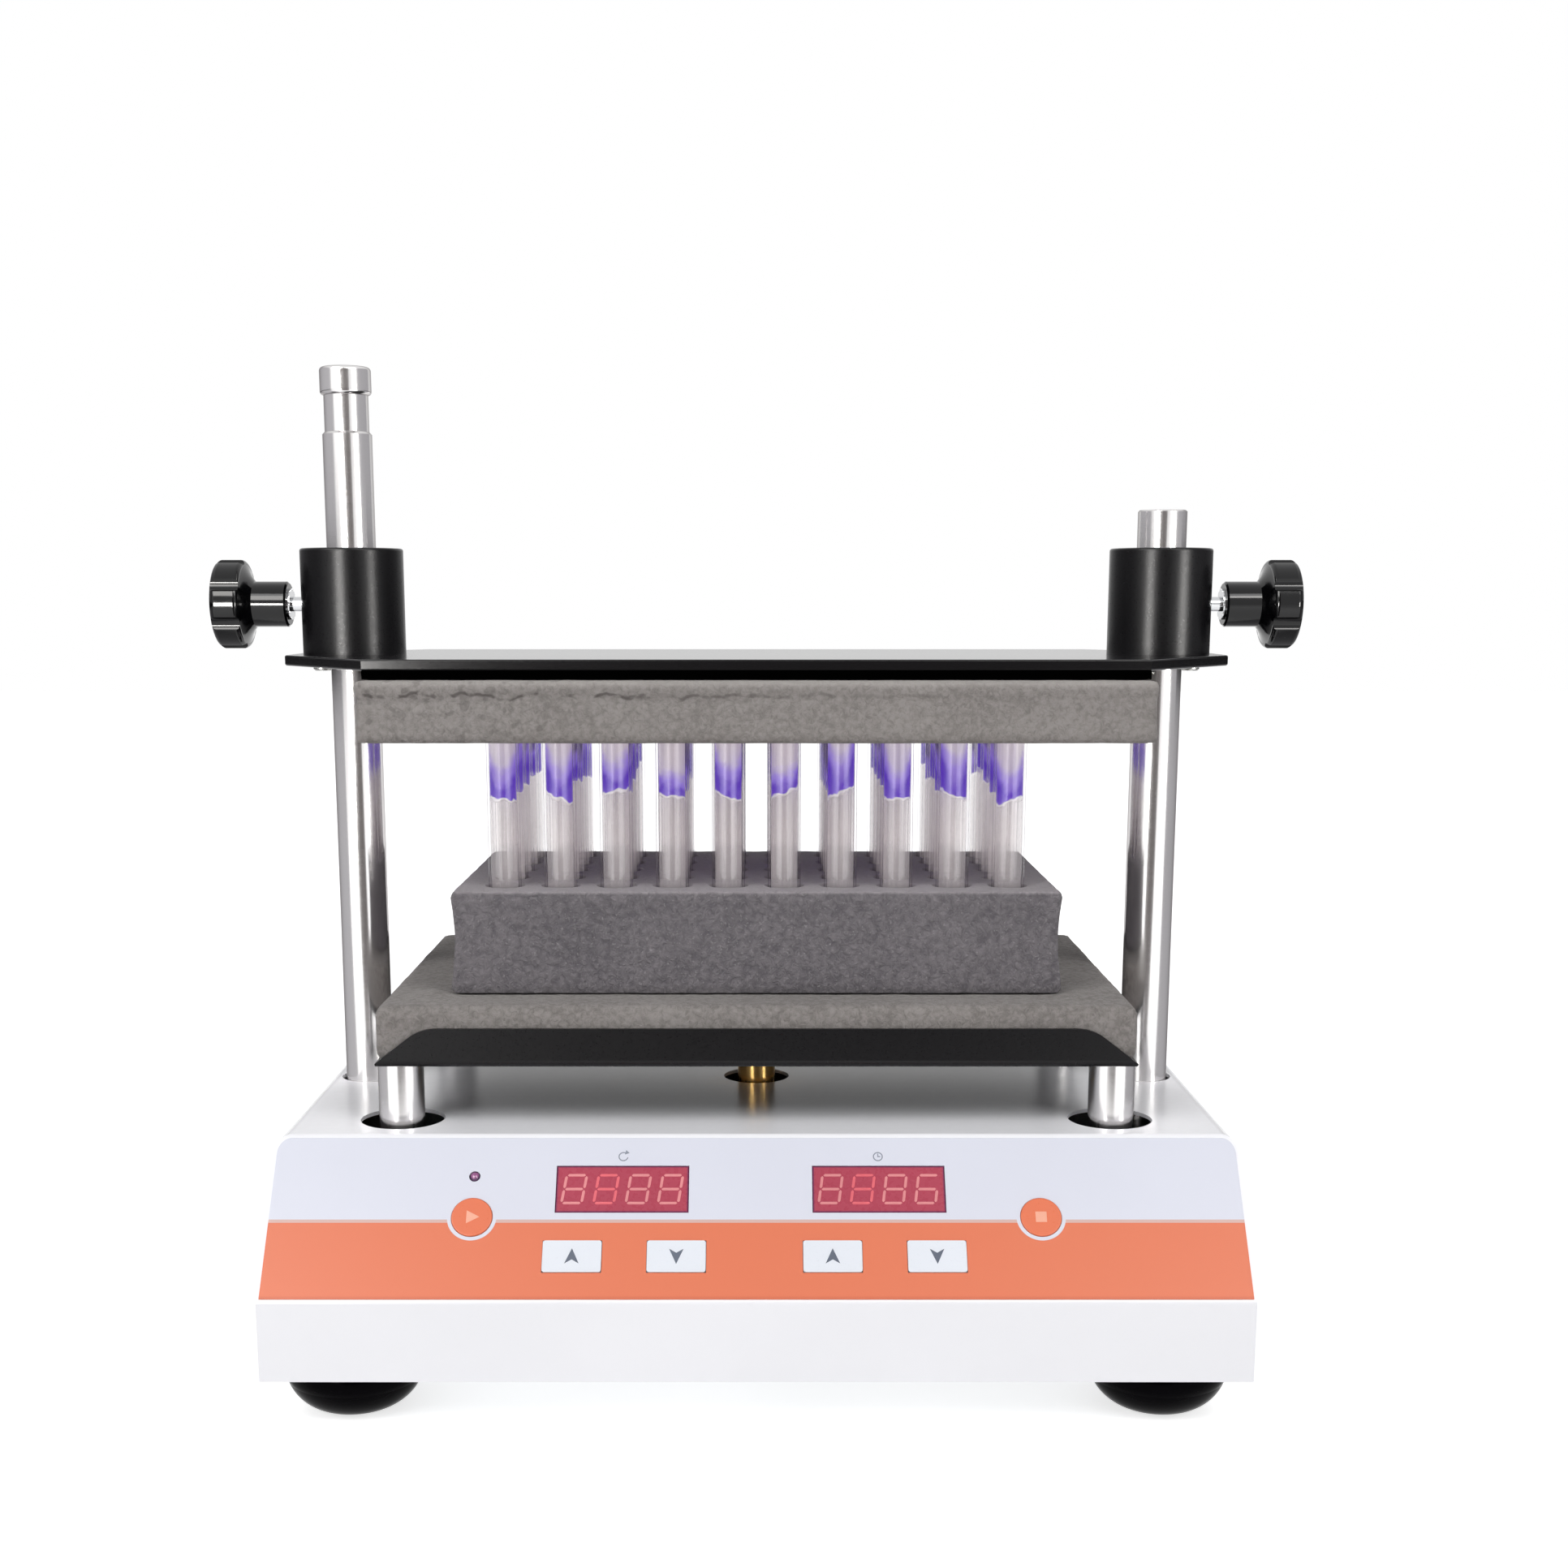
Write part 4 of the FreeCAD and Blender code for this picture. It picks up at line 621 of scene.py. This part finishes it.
def foam(name, light, dark, cell, relief, speck=None):
    """Closed-cell foam: pits and swells, with a fine grain of cells. Its two tones drift at random, and the darker
    one also follows the deeper parts of the surface as painted shade.
    """
    material = bpy.data.materials.new(name)
    material.use_nodes = True
    shader = material.node_tree.nodes["Principled BSDF"]
    spot = places(material)
    pits = add(material, "TexVoronoi", {"Vector": spot, "Scale": 1000 / cell}, feature="SMOOTH_F1")
    rough = {"Vector": spot, "Scale": 1100 / cell, "Detail": 4.0, "Roughness": 0.7, "Distortion": 1.4}
    fine = add(material, "TexNoise", rough)
    broad = add(material, "TexNoise", {"Vector": spot, "Scale": 22.0, "Detail": 3.0})
    height = reckon(material, "MULTIPLY_ADD", pits, 0.4, fine)
    # The darker tone follows a random drift and also the depth of the pits: painted shade in the pits.
    share = between(material, reckon(material, "MULTIPLY_ADD", broad, 0.4, height), 0.65, 1.15)
    colour = mixed(material, share, light, dark)
    if speck:
        dots = add(material, "TexNoise", {"Vector": spot, "Scale": 900.0, "Detail": 1.0})
        colour = mixed(material, between(material, dots, 0.66, 0.72, 0.0, 0.6), colour, speck)
    lumps = add(material, "Bump", {"Height": height, "Strength": 1.0, "Distance": -relief * mm})
    for socket, value in {"Base Color": colour, "Normal": lumps}.items():
        material.node_tree.links.new(value, shader.inputs[socket])
    shader.inputs["Roughness"].default_value = 0.88
    shader.inputs["Specular IOR Level"].default_value = 0.25
    shader.inputs["Sheen Weight"].default_value = 0.15
    return material


foam_voxel = 2.2
liner_middle = 145
liner_half = 147.6
liner_sag = 0.6
swell = 1.0
swell_x = 128
swell_y = -44
grey_foam = foam("grey_foam", tone(144, 139, 136), tone(112, 107, 104), 2.4, 0.6)


def liner_form(p):
    """The liner sags towards its free ends and swells beside the rack's feet."""
    top = p[:, 2] > liner_middle
    beside = np.exp(-((np.abs(p[:, 0]) - swell_x) / 9) ** 2) * np.exp(-((p[:, 1] - swell_y) / 14) ** 2)
    p[top, 2] += swell * beside[top]
    p[top, 2] -= liner_sag * (np.abs(p[top, 0]) / liner_half) ** 6
    return p


liner = slab("liner_slab", "liner_foam", 3.0)
shape_by(liner, "REMESH", mode="VOXEL", voxel_size=foam_voxel * mm, use_smooth_shade=True)
pebbled(liner, 7, 0.5)
press(liner, liner_form)
painted(liner, grey_foam, "shaking_frame")
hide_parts("liner_foam")

# Rack: a block of darker closed-cell foam that stands loose on the liner, bored for ten by five tubes. Each bore
# has a widened mouth. The block's sides are drawn in above its foot, and its top is painted lighter as painted light.
tube_radius = 6.5
tube_bore = 6.8
tube_wall = 1.0
tube_low = 153.0
tube_high = 253.0
column_pitch = 22.35
columns = 10
row_pitch = 23.8
rows = 5
frame_y = 18.102
first_x = -column_pitch * (columns - 1) / 2
first_y = frame_y - row_pitch * (rows - 1) / 2
rack_low = 153
rack_rise = 41
rack_draw = 2.6
rack_spread = 0.6
bore_depth = 5
mouth_low = 192.6
mouth_deep = 1.6
mouth_over = 6
mouth_wide = 1.2


def rod(name, radius, low, high, sides):
    """An upright rod in the place of the first tube."""
    bpy.ops.object.select_all(action="DESELECT")
    bpy.ops.mesh.primitive_cylinder_add(vertices=sides, radius=radius * mm, depth=(high - low) * mm,
                                        location=(first_x * mm, first_y * mm, (low + high) / 2 * mm))
    made = bpy.context.object
    made.name = name
    bpy.ops.object.transform_apply(location=True, rotation=True, scale=True)
    return made


def in_rack(piece):
    """Repeats a piece in all places of the rack."""
    for count, step in ((columns, (column_pitch * mm, 0, 0)), (rows, (0, row_pitch * mm, 0))):
        shape_by(piece, "ARRAY", count=count, use_relative_offset=False, use_constant_offset=True,
                 constant_offset_displace=step)


def rack_form(p):
    """The rack's sides are drawn in above its foot."""
    height = np.clip((p[:, 2] - rack_low) / rack_rise, 0, 1)
    draw = rack_draw * np.sin(np.pi * np.clip(height * 0.62 + 0.16, 0, 1)) ** 2 - rack_spread
    out_x = np.clip((np.abs(p[:, 0]) - 100) / 21, 0, 1)
    out_y = np.clip((np.abs(p[:, 1] - frame_y) - 54) / 11, 0, 1)
    p[:, 0] -= np.sign(p[:, 0]) * draw * out_x
    p[:, 1] -= np.sign(p[:, 1] - frame_y) * 0.6 * draw * out_y
    return p


dark_foam = foam("dark_foam", tone(126, 121, 125), tone(94, 90, 95), 2.6, 1.2, tone(150, 146, 148))
add(dark_foam, "SeparateXYZ", {"Vector": places(dark_foam)})
rack_height = dark_foam.node_tree.nodes[-1].outputs["Z"]
# Painted light: the rack's top is painted lighter, as if lit from above.
lit_top = between(dark_foam, rack_height, 0.1925, 0.194, 0.0, 0.47)
recolour(dark_foam, mixed(dark_foam, lit_top, own_colour(dark_foam), tone(196, 189, 192)))
rack = slab("rack_block", "rack_foam", 1.6)
shape_by(rack, "REMESH", mode="VOXEL", voxel_size=foam_voxel * mm, use_smooth_shade=True)
pebbled(rack, 6, 0.4)
press(rack, rack_form)
bores = rod("bores", tube_bore, tube_low - bore_depth, mouth_low, 24)
none_picked(bores, "FACE")
for face in bores.data.polygons:
    face.select = face.center.z > (mouth_low - 0.6) * mm
bpy.ops.object.mode_set(mode="EDIT")
bpy.ops.mesh.extrude_region_move(TRANSFORM_OT_translate={"value": (0, 0, mouth_deep * mm)})
bpy.ops.transform.resize(value=(mouth_wide, mouth_wide, 1))
bpy.ops.mesh.extrude_region_move(TRANSFORM_OT_translate={"value": (0, 0, mouth_over * mm)})
bpy.ops.object.mode_set(mode="OBJECT")
in_rack(bores)
shape_by(rack, "BOOLEAN", object=bores, operation="DIFFERENCE", solver="EXACT")
bpy.data.objects.remove(bores)
lone(rack)
bpy.ops.object.shade_smooth_by_angle(angle=math.radians(40))
painted(rack, dark_foam, "tube_rack")
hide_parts("rack_foam")

# Tubes: fifty round-bottomed glass culture tubes of 13 x 100 mm, standing in the rack and held down by the pad.
# Each holds a sample that has been shaken: clear below, violet where it foams, and a film up the wall above.
glass = bpy.data.materials.new("clear_glass")
glass.use_nodes = True
glass_tree = glass.node_tree
glass_tree.nodes.clear()
glass_spot = add(glass, "Mapping", {"Vector": places(glass), "Scale": (1, 1, 0.08)})
glass_waves = add(glass, "TexNoise", {"Vector": glass_spot, "Scale": 260.0, "Detail": 2.0})
glass_lumps = add(glass, "Bump", {"Height": glass_waves, "Strength": 1.0, "Distance": 0.02 * mm})
add(glass, "LayerWeight", {"Blend": 0.5, "Normal": glass_lumps})
glass_facing = glass_tree.nodes[-1].outputs["Facing"]
glass_tint = mixed(glass, between(glass, glass_facing, 0.62, 0.95), (0.985, 0.98, 0.98, 1), (0.52, 0.51, 0.54, 1))
glass_clear = add(glass, "BsdfTransparent", {"Color": glass_tint})
glass_shine = add(glass, "BsdfGlossy", {"Color": (1, 1, 1, 1), "Roughness": 0.05, "Normal": glass_lumps})
glass_share = between(glass, glass_facing, 0.5, 1.0, 0.03, 0.3)
glass_skin = add(glass, "MixShader", {0: glass_share, 1: glass_clear, 2: glass_shine})
add(glass, "OutputMaterial", {"Surface": glass_skin})


def rounded_bottom(piece, low, radius):
    """Rounds the lower rim of an upright rod off."""
    none_picked(piece, "EDGE")
    for edge in piece.data.edges:
        ends = [piece.data.vertices[i].co for i in edge.vertices]
        edge.select = all(end.z < (low + 0.5) * mm for end in ends)
    bpy.ops.object.mode_set(mode="EDIT")
    bpy.ops.mesh.bevel(offset=radius * mm, segments=4, affect="EDGES")
    bpy.ops.object.mode_set(mode="OBJECT")


def open_top(piece, high):
    """Takes the upper end of an upright rod off."""
    none_picked(piece, "FACE")
    for face in piece.data.polygons:
        face.select = face.center.z > (high - 0.1) * mm
    bpy.ops.object.mode_set(mode="EDIT")
    bpy.ops.mesh.delete(type="FACE")
    bpy.ops.object.mode_set(mode="OBJECT")


glass_round = 5.6
tubes = rod("tube_glass", tube_radius, tube_low, tube_high, 28)
rounded_bottom(tubes, tube_low, glass_round)
open_top(tubes, tube_high)
shape_by(tubes, "SOLIDIFY", thickness=tube_wall * mm, offset=-1.0)
in_rack(tubes)
lone(tubes)
bpy.ops.object.shade_smooth_by_angle(angle=math.radians(50))
painted(tubes, glass, "tube_rack")
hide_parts("sample_tubes")

sample = bpy.data.materials.new("violet_sample")
sample.use_nodes = True
sample_shader = sample.node_tree.nodes["Principled BSDF"]
spot = places(sample)
add(sample, "SeparateXYZ", {"Vector": spot})
spot_parts = sample.node_tree.nodes[-1].outputs
line_height = 0.2265
line_spread = 0.006
line_waves = 0.004
line_tilt = 0.024
column_count = reckon(sample, "DIVIDE", spot_parts["X"], column_pitch * mm)
row_count = reckon(sample, "DIVIDE", reckon(sample, "SUBTRACT", spot_parts["Y"], first_y * mm), row_pitch * mm)
column_index = reckon(sample, "FLOOR", column_count)
row_index = reckon(sample, "ROUND", row_count)
cell = add(sample, "CombineXYZ", {"X": column_index, "Y": row_index})
add(sample, "TexWhiteNoise", {"Vector": cell})
add(sample, "SeparateColor", {"Color": sample.node_tree.nodes[-1].outputs["Color"]})
chance = sample.node_tree.nodes[-1].outputs
aside = reckon(sample, "SUBTRACT", reckon(sample, "SUBTRACT", column_count, column_index), 0.5)
slant = reckon(sample, "MULTIPLY", aside, reckon(sample, "MULTIPLY_ADD", chance["Blue"], line_tilt, -line_tilt / 2))
ripple = add(sample, "TexNoise", {"Vector": spot, "Scale": 240.0, "Detail": 1.0})
line = reckon(sample, "MULTIPLY_ADD", chance["Red"], line_spread, line_height)
line = reckon(sample, "ADD", line, slant)
line = reckon(sample, "MULTIPLY_ADD", ripple, line_waves, line)
above = reckon(sample, "SUBTRACT", spot_parts["Z"], line)
cup_depth = reckon(sample, "MULTIPLY", chance["Green"], 0.22)
cup = reckon(sample, "MULTIPLY", reckon(sample, "MULTIPLY", aside, aside), cup_depth)
fade = reckon(sample, "SUBTRACT", above, cup)
swirl = add(sample, "TexNoise", {"Vector": spot, "Scale": 130.0, "Detail": 3.0})
fade = reckon(sample, "MULTIPLY_ADD", swirl, -0.01, reckon(sample, "ADD", fade, 0.005))
reach = reckon(sample, "MULTIPLY_ADD", chance["Green"], 0.007, 0.0065)
height = reckon(sample, "DIVIDE", fade, reach)
streak_spot = add(sample, "Mapping", {"Vector": spot, "Scale": (1, 1, 0.03)})
streaks = add(sample, "TexNoise", {"Vector": streak_spot, "Scale": 620.0, "Detail": 2.0})
rear = between(sample, row_index, 0.0, 0.5)
side = between(sample, reckon(sample, "ABSOLUTE", aside), 0.10, 0.21)
film = mixed(sample, streaks, tone(242, 234, 238), tone(206, 196, 204))
# Painted shade: in the rear rows the film goes dark towards the sides of each tube, between the tubes.
film = mixed(sample, reckon(sample, "MULTIPLY", rear, side), film, tone(84, 70, 104))
clear = mixed(sample, between(sample, streaks, 0.35, 0.65), tone(226, 219, 219), tone(186, 179, 181))
# Painted shade: in the front row the clear sample is painted greyer low down, just above the rack.
front_low_shade = between(sample, spot_parts["Z"], 0.2095, 0.2115, reckon(sample, "MULTIPLY_ADD", rear, -0.45, 0.45), 0.0)
clear = mixed(sample, front_low_shade, clear, tone(150, 148, 150))
violet = mixed(sample, between(sample, height, 0.1, 0.75), tone(102, 56, 208), tone(166, 138, 238))
upper = mixed(sample, between(sample, height, 0.6, 1.4), violet, film)
lit_line = between(sample, above, -0.0011, -0.0004)
lower = mixed(sample, lit_line, clear, tone(244, 242, 244))
sample_colour = mixed(sample, between(sample, above, -0.0002, 0.0002), lower, upper)
sample.node_tree.links.new(sample_colour, sample_shader.inputs["Base Color"])
sample_shader.inputs["Roughness"].default_value = 0.35
# Painted light: the sample glows a little in its own colour, standing in for light from the white room that passes
# through it.
sample.node_tree.links.new(sample_colour, sample_shader.inputs["Emission Color"])
sample_shader.inputs["Emission Strength"].default_value = 0.3
see_clear = reckon(sample, "MULTIPLY_ADD", streaks, 0.6, 0.02)
see_violet = between(sample, height, 0.5, 1.5, 0.94, 0.6)
see_line = between(sample, reckon(sample, "ABSOLUTE", reckon(sample, "ADD", above, 0.0007)), 0.0003, 0.0009, 0.6, 0.0)
see_lower = reckon(sample, "MAXIMUM", see_clear, see_line)
see_upper = reckon(sample, "SUBTRACT", see_violet, see_lower)
opening = reckon(sample, "MULTIPLY_ADD", between(sample, above, -0.0003, 0.0003), see_upper, see_lower)
see_rear = between(sample, above, -0.0003, 0.0003, 0.26, 0.7)
opening = between(sample, row_index, 0.0, 0.5, opening, see_rear)
sample.node_tree.links.new(opening, sample_shader.inputs["Alpha"])

sample_gap = 0.25
sample_low = tube_low + 2.5
sample_round = 4.2
samples = rod("sample_columns", tube_radius - tube_wall - sample_gap, sample_low, tube_high - 1.0, 24)
rounded_bottom(samples, sample_low, sample_round)
in_rack(samples)
lone(samples)
bpy.ops.object.shade_smooth_by_angle(angle=math.radians(50))
painted(samples, sample, "tube_rack")


# Bridge: a steel plate in black enamel on a matt backing board, with a black steel collar screwed on for each tall
# post. The foam pad is glued under the board. It is pressed a little hollow, and its skin is creased above. The
# crease and some pits near its left end are painted darker as painted shade, and its top band lighter as painted
# light.
plate_enamel = finish("plate_enamel", tone(20, 19, 21), 0.16, drift=0.12, grain=900, relief=0.003,
                      Specular_IOR_Level=0.3)
dress(plate_enamel, "clamp_plate")
# The board's near-pure black without any gloss is partly its own black and partly painted shade for the set-back
# recess between plate and pad.
board_black = finish("board_black", tone(2, 2, 2), 0.8, drift=0.2, grain=700, relief=0.01, Specular_IOR_Level=0.0)
dress(board_black, "backing_board")
dress(black_enamel, "collar_left", "collar_right")
dress(zinc_screw, "collar_screws")

pad_low = 253.3
pad_thick = 23.4
pad_half_x = 151.5
pad_half_y = 88.0
pad_hollow = 0.9
pad_skin = 6
crease_height = 269.6
crease_deep = 1.1


def pad_form(p):
    """The pad's sides are drawn in at mid-height, and a crease runs along the front and the ends."""
    middle = (p[:, 2] - pad_low) / pad_thick
    hollow = pad_hollow * np.sin(np.pi * np.clip(middle, 0, 1))
    wander = crease_height + 0.9 * np.sin(p[:, 0] / 17) + 0.5 * np.sin(p[:, 0] / 6.3 + 1)
    crease = crease_deep * np.exp(-((p[:, 2] - wander) / 1.4) ** 2) * np.clip(0.75 - p[:, 0] / 160, 0.15, 1)
    for axis, centre, half in ((0, 0.0, pad_half_x), (1, frame_y, pad_half_y)):
        away = p[:, axis] - centre
        edge = np.clip((np.abs(away) - (half - pad_skin)) / pad_skin, 0, 1)
        p[:, axis] -= np.sign(away) * edge * (hollow + crease)
    return p


pad_foam = foam("pad_foam", tone(146, 141, 138), tone(118, 113, 110), 2.2, 0.5)
spot = places(pad_foam)
add(pad_foam, "SeparateXYZ", {"Vector": spot})
pad_x, _, pad_z = pad_foam.node_tree.nodes[-1].outputs
wander = add(pad_foam, "TexNoise", {"Vector": spot, "Scale": 70.0, "Detail": 3.0})
# Painted shade: a dark line along the crease, broken in places and fading towards the pad's right end.
off_crease = reckon(pad_foam, "SUBTRACT", reckon(pad_foam, "MULTIPLY_ADD", wander, -0.009, pad_z), 0.2665)
crease = between(pad_foam, reckon(pad_foam, "ABSOLUTE", off_crease), 0.0002, 0.0011, 1.0, 0.0)
broken = add(pad_foam, "TexNoise", {"Vector": spot, "Scale": 160.0, "Detail": 2.0})
crease = reckon(pad_foam, "MULTIPLY", crease, between(pad_foam, broken, 0.42, 0.56))
crease = reckon(pad_foam, "MULTIPLY", crease, between(pad_foam, pad_x, -0.09, 0.1, 1.0, 0.12))
# Painted shade: darker pits near the pad's left end.
pits = between(pad_foam, broken, 0.56, 0.64, 0.0, 0.35)
pit_shade = reckon(pad_foam, "MULTIPLY", pits, between(pad_foam, pad_x, -0.12, 0.0, 1.0, 0.0))
pad_painted_shade = reckon(pad_foam, "MAXIMUM", reckon(pad_foam, "MULTIPLY", crease, 0.8), pit_shade)
# Painted light: the top band of the pad's sides is painted lighter.
lit_top = between(pad_foam, pad_z, 0.2735, 0.2762, 0.0, 0.5)
pad_tone = mixed(pad_foam, lit_top, own_colour(pad_foam), tone(176, 171, 167))
recolour(pad_foam, mixed(pad_foam, pad_painted_shade, pad_tone, tone(70, 64, 62)))
pad_voxel = 2.0
pad = slab("pad_slab", "clamp_pad", 2.4)
shape_by(pad, "REMESH", mode="VOXEL", voxel_size=pad_voxel * mm, use_smooth_shade=True)
pebbled(pad, 9, 0.25)
press(pad, pad_form)
painted(pad, pad_foam, "clamp_bridge")
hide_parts("clamp_pad")

# Clamp knobs: lobed heads of glossy black phenolic, moulded on a ribbed metal insert and a steel screw, with a
# soft brass tip ahead of each screw that presses on the post.
black_phenolic = finish("black_phenolic", tone(5, 5, 7), 0.1, drift=0.2, grain=300, relief=0.003,
                        Specular_IOR_Level=0.36)
dress(black_phenolic, "knob_left", "knob_right")
dress(bearing_steel, "clamp_screw_left", "clamp_screw_right")
dress(brass, "clamp_tip_left", "clamp_tip_right")

# Mains side: a moulded black inlet with three brass blades and a rocker switch in its bezel, both snapped into
# cut-outs of the rear wall.
black_moulding = finish("black_moulding", tone(22, 22, 24), 0.4, drift=0.15, grain=1600, relief=0.015)
dress(black_moulding, "power_inlet", "rocker_bezel", "rocker")
dress(brass, "inlet_blades")
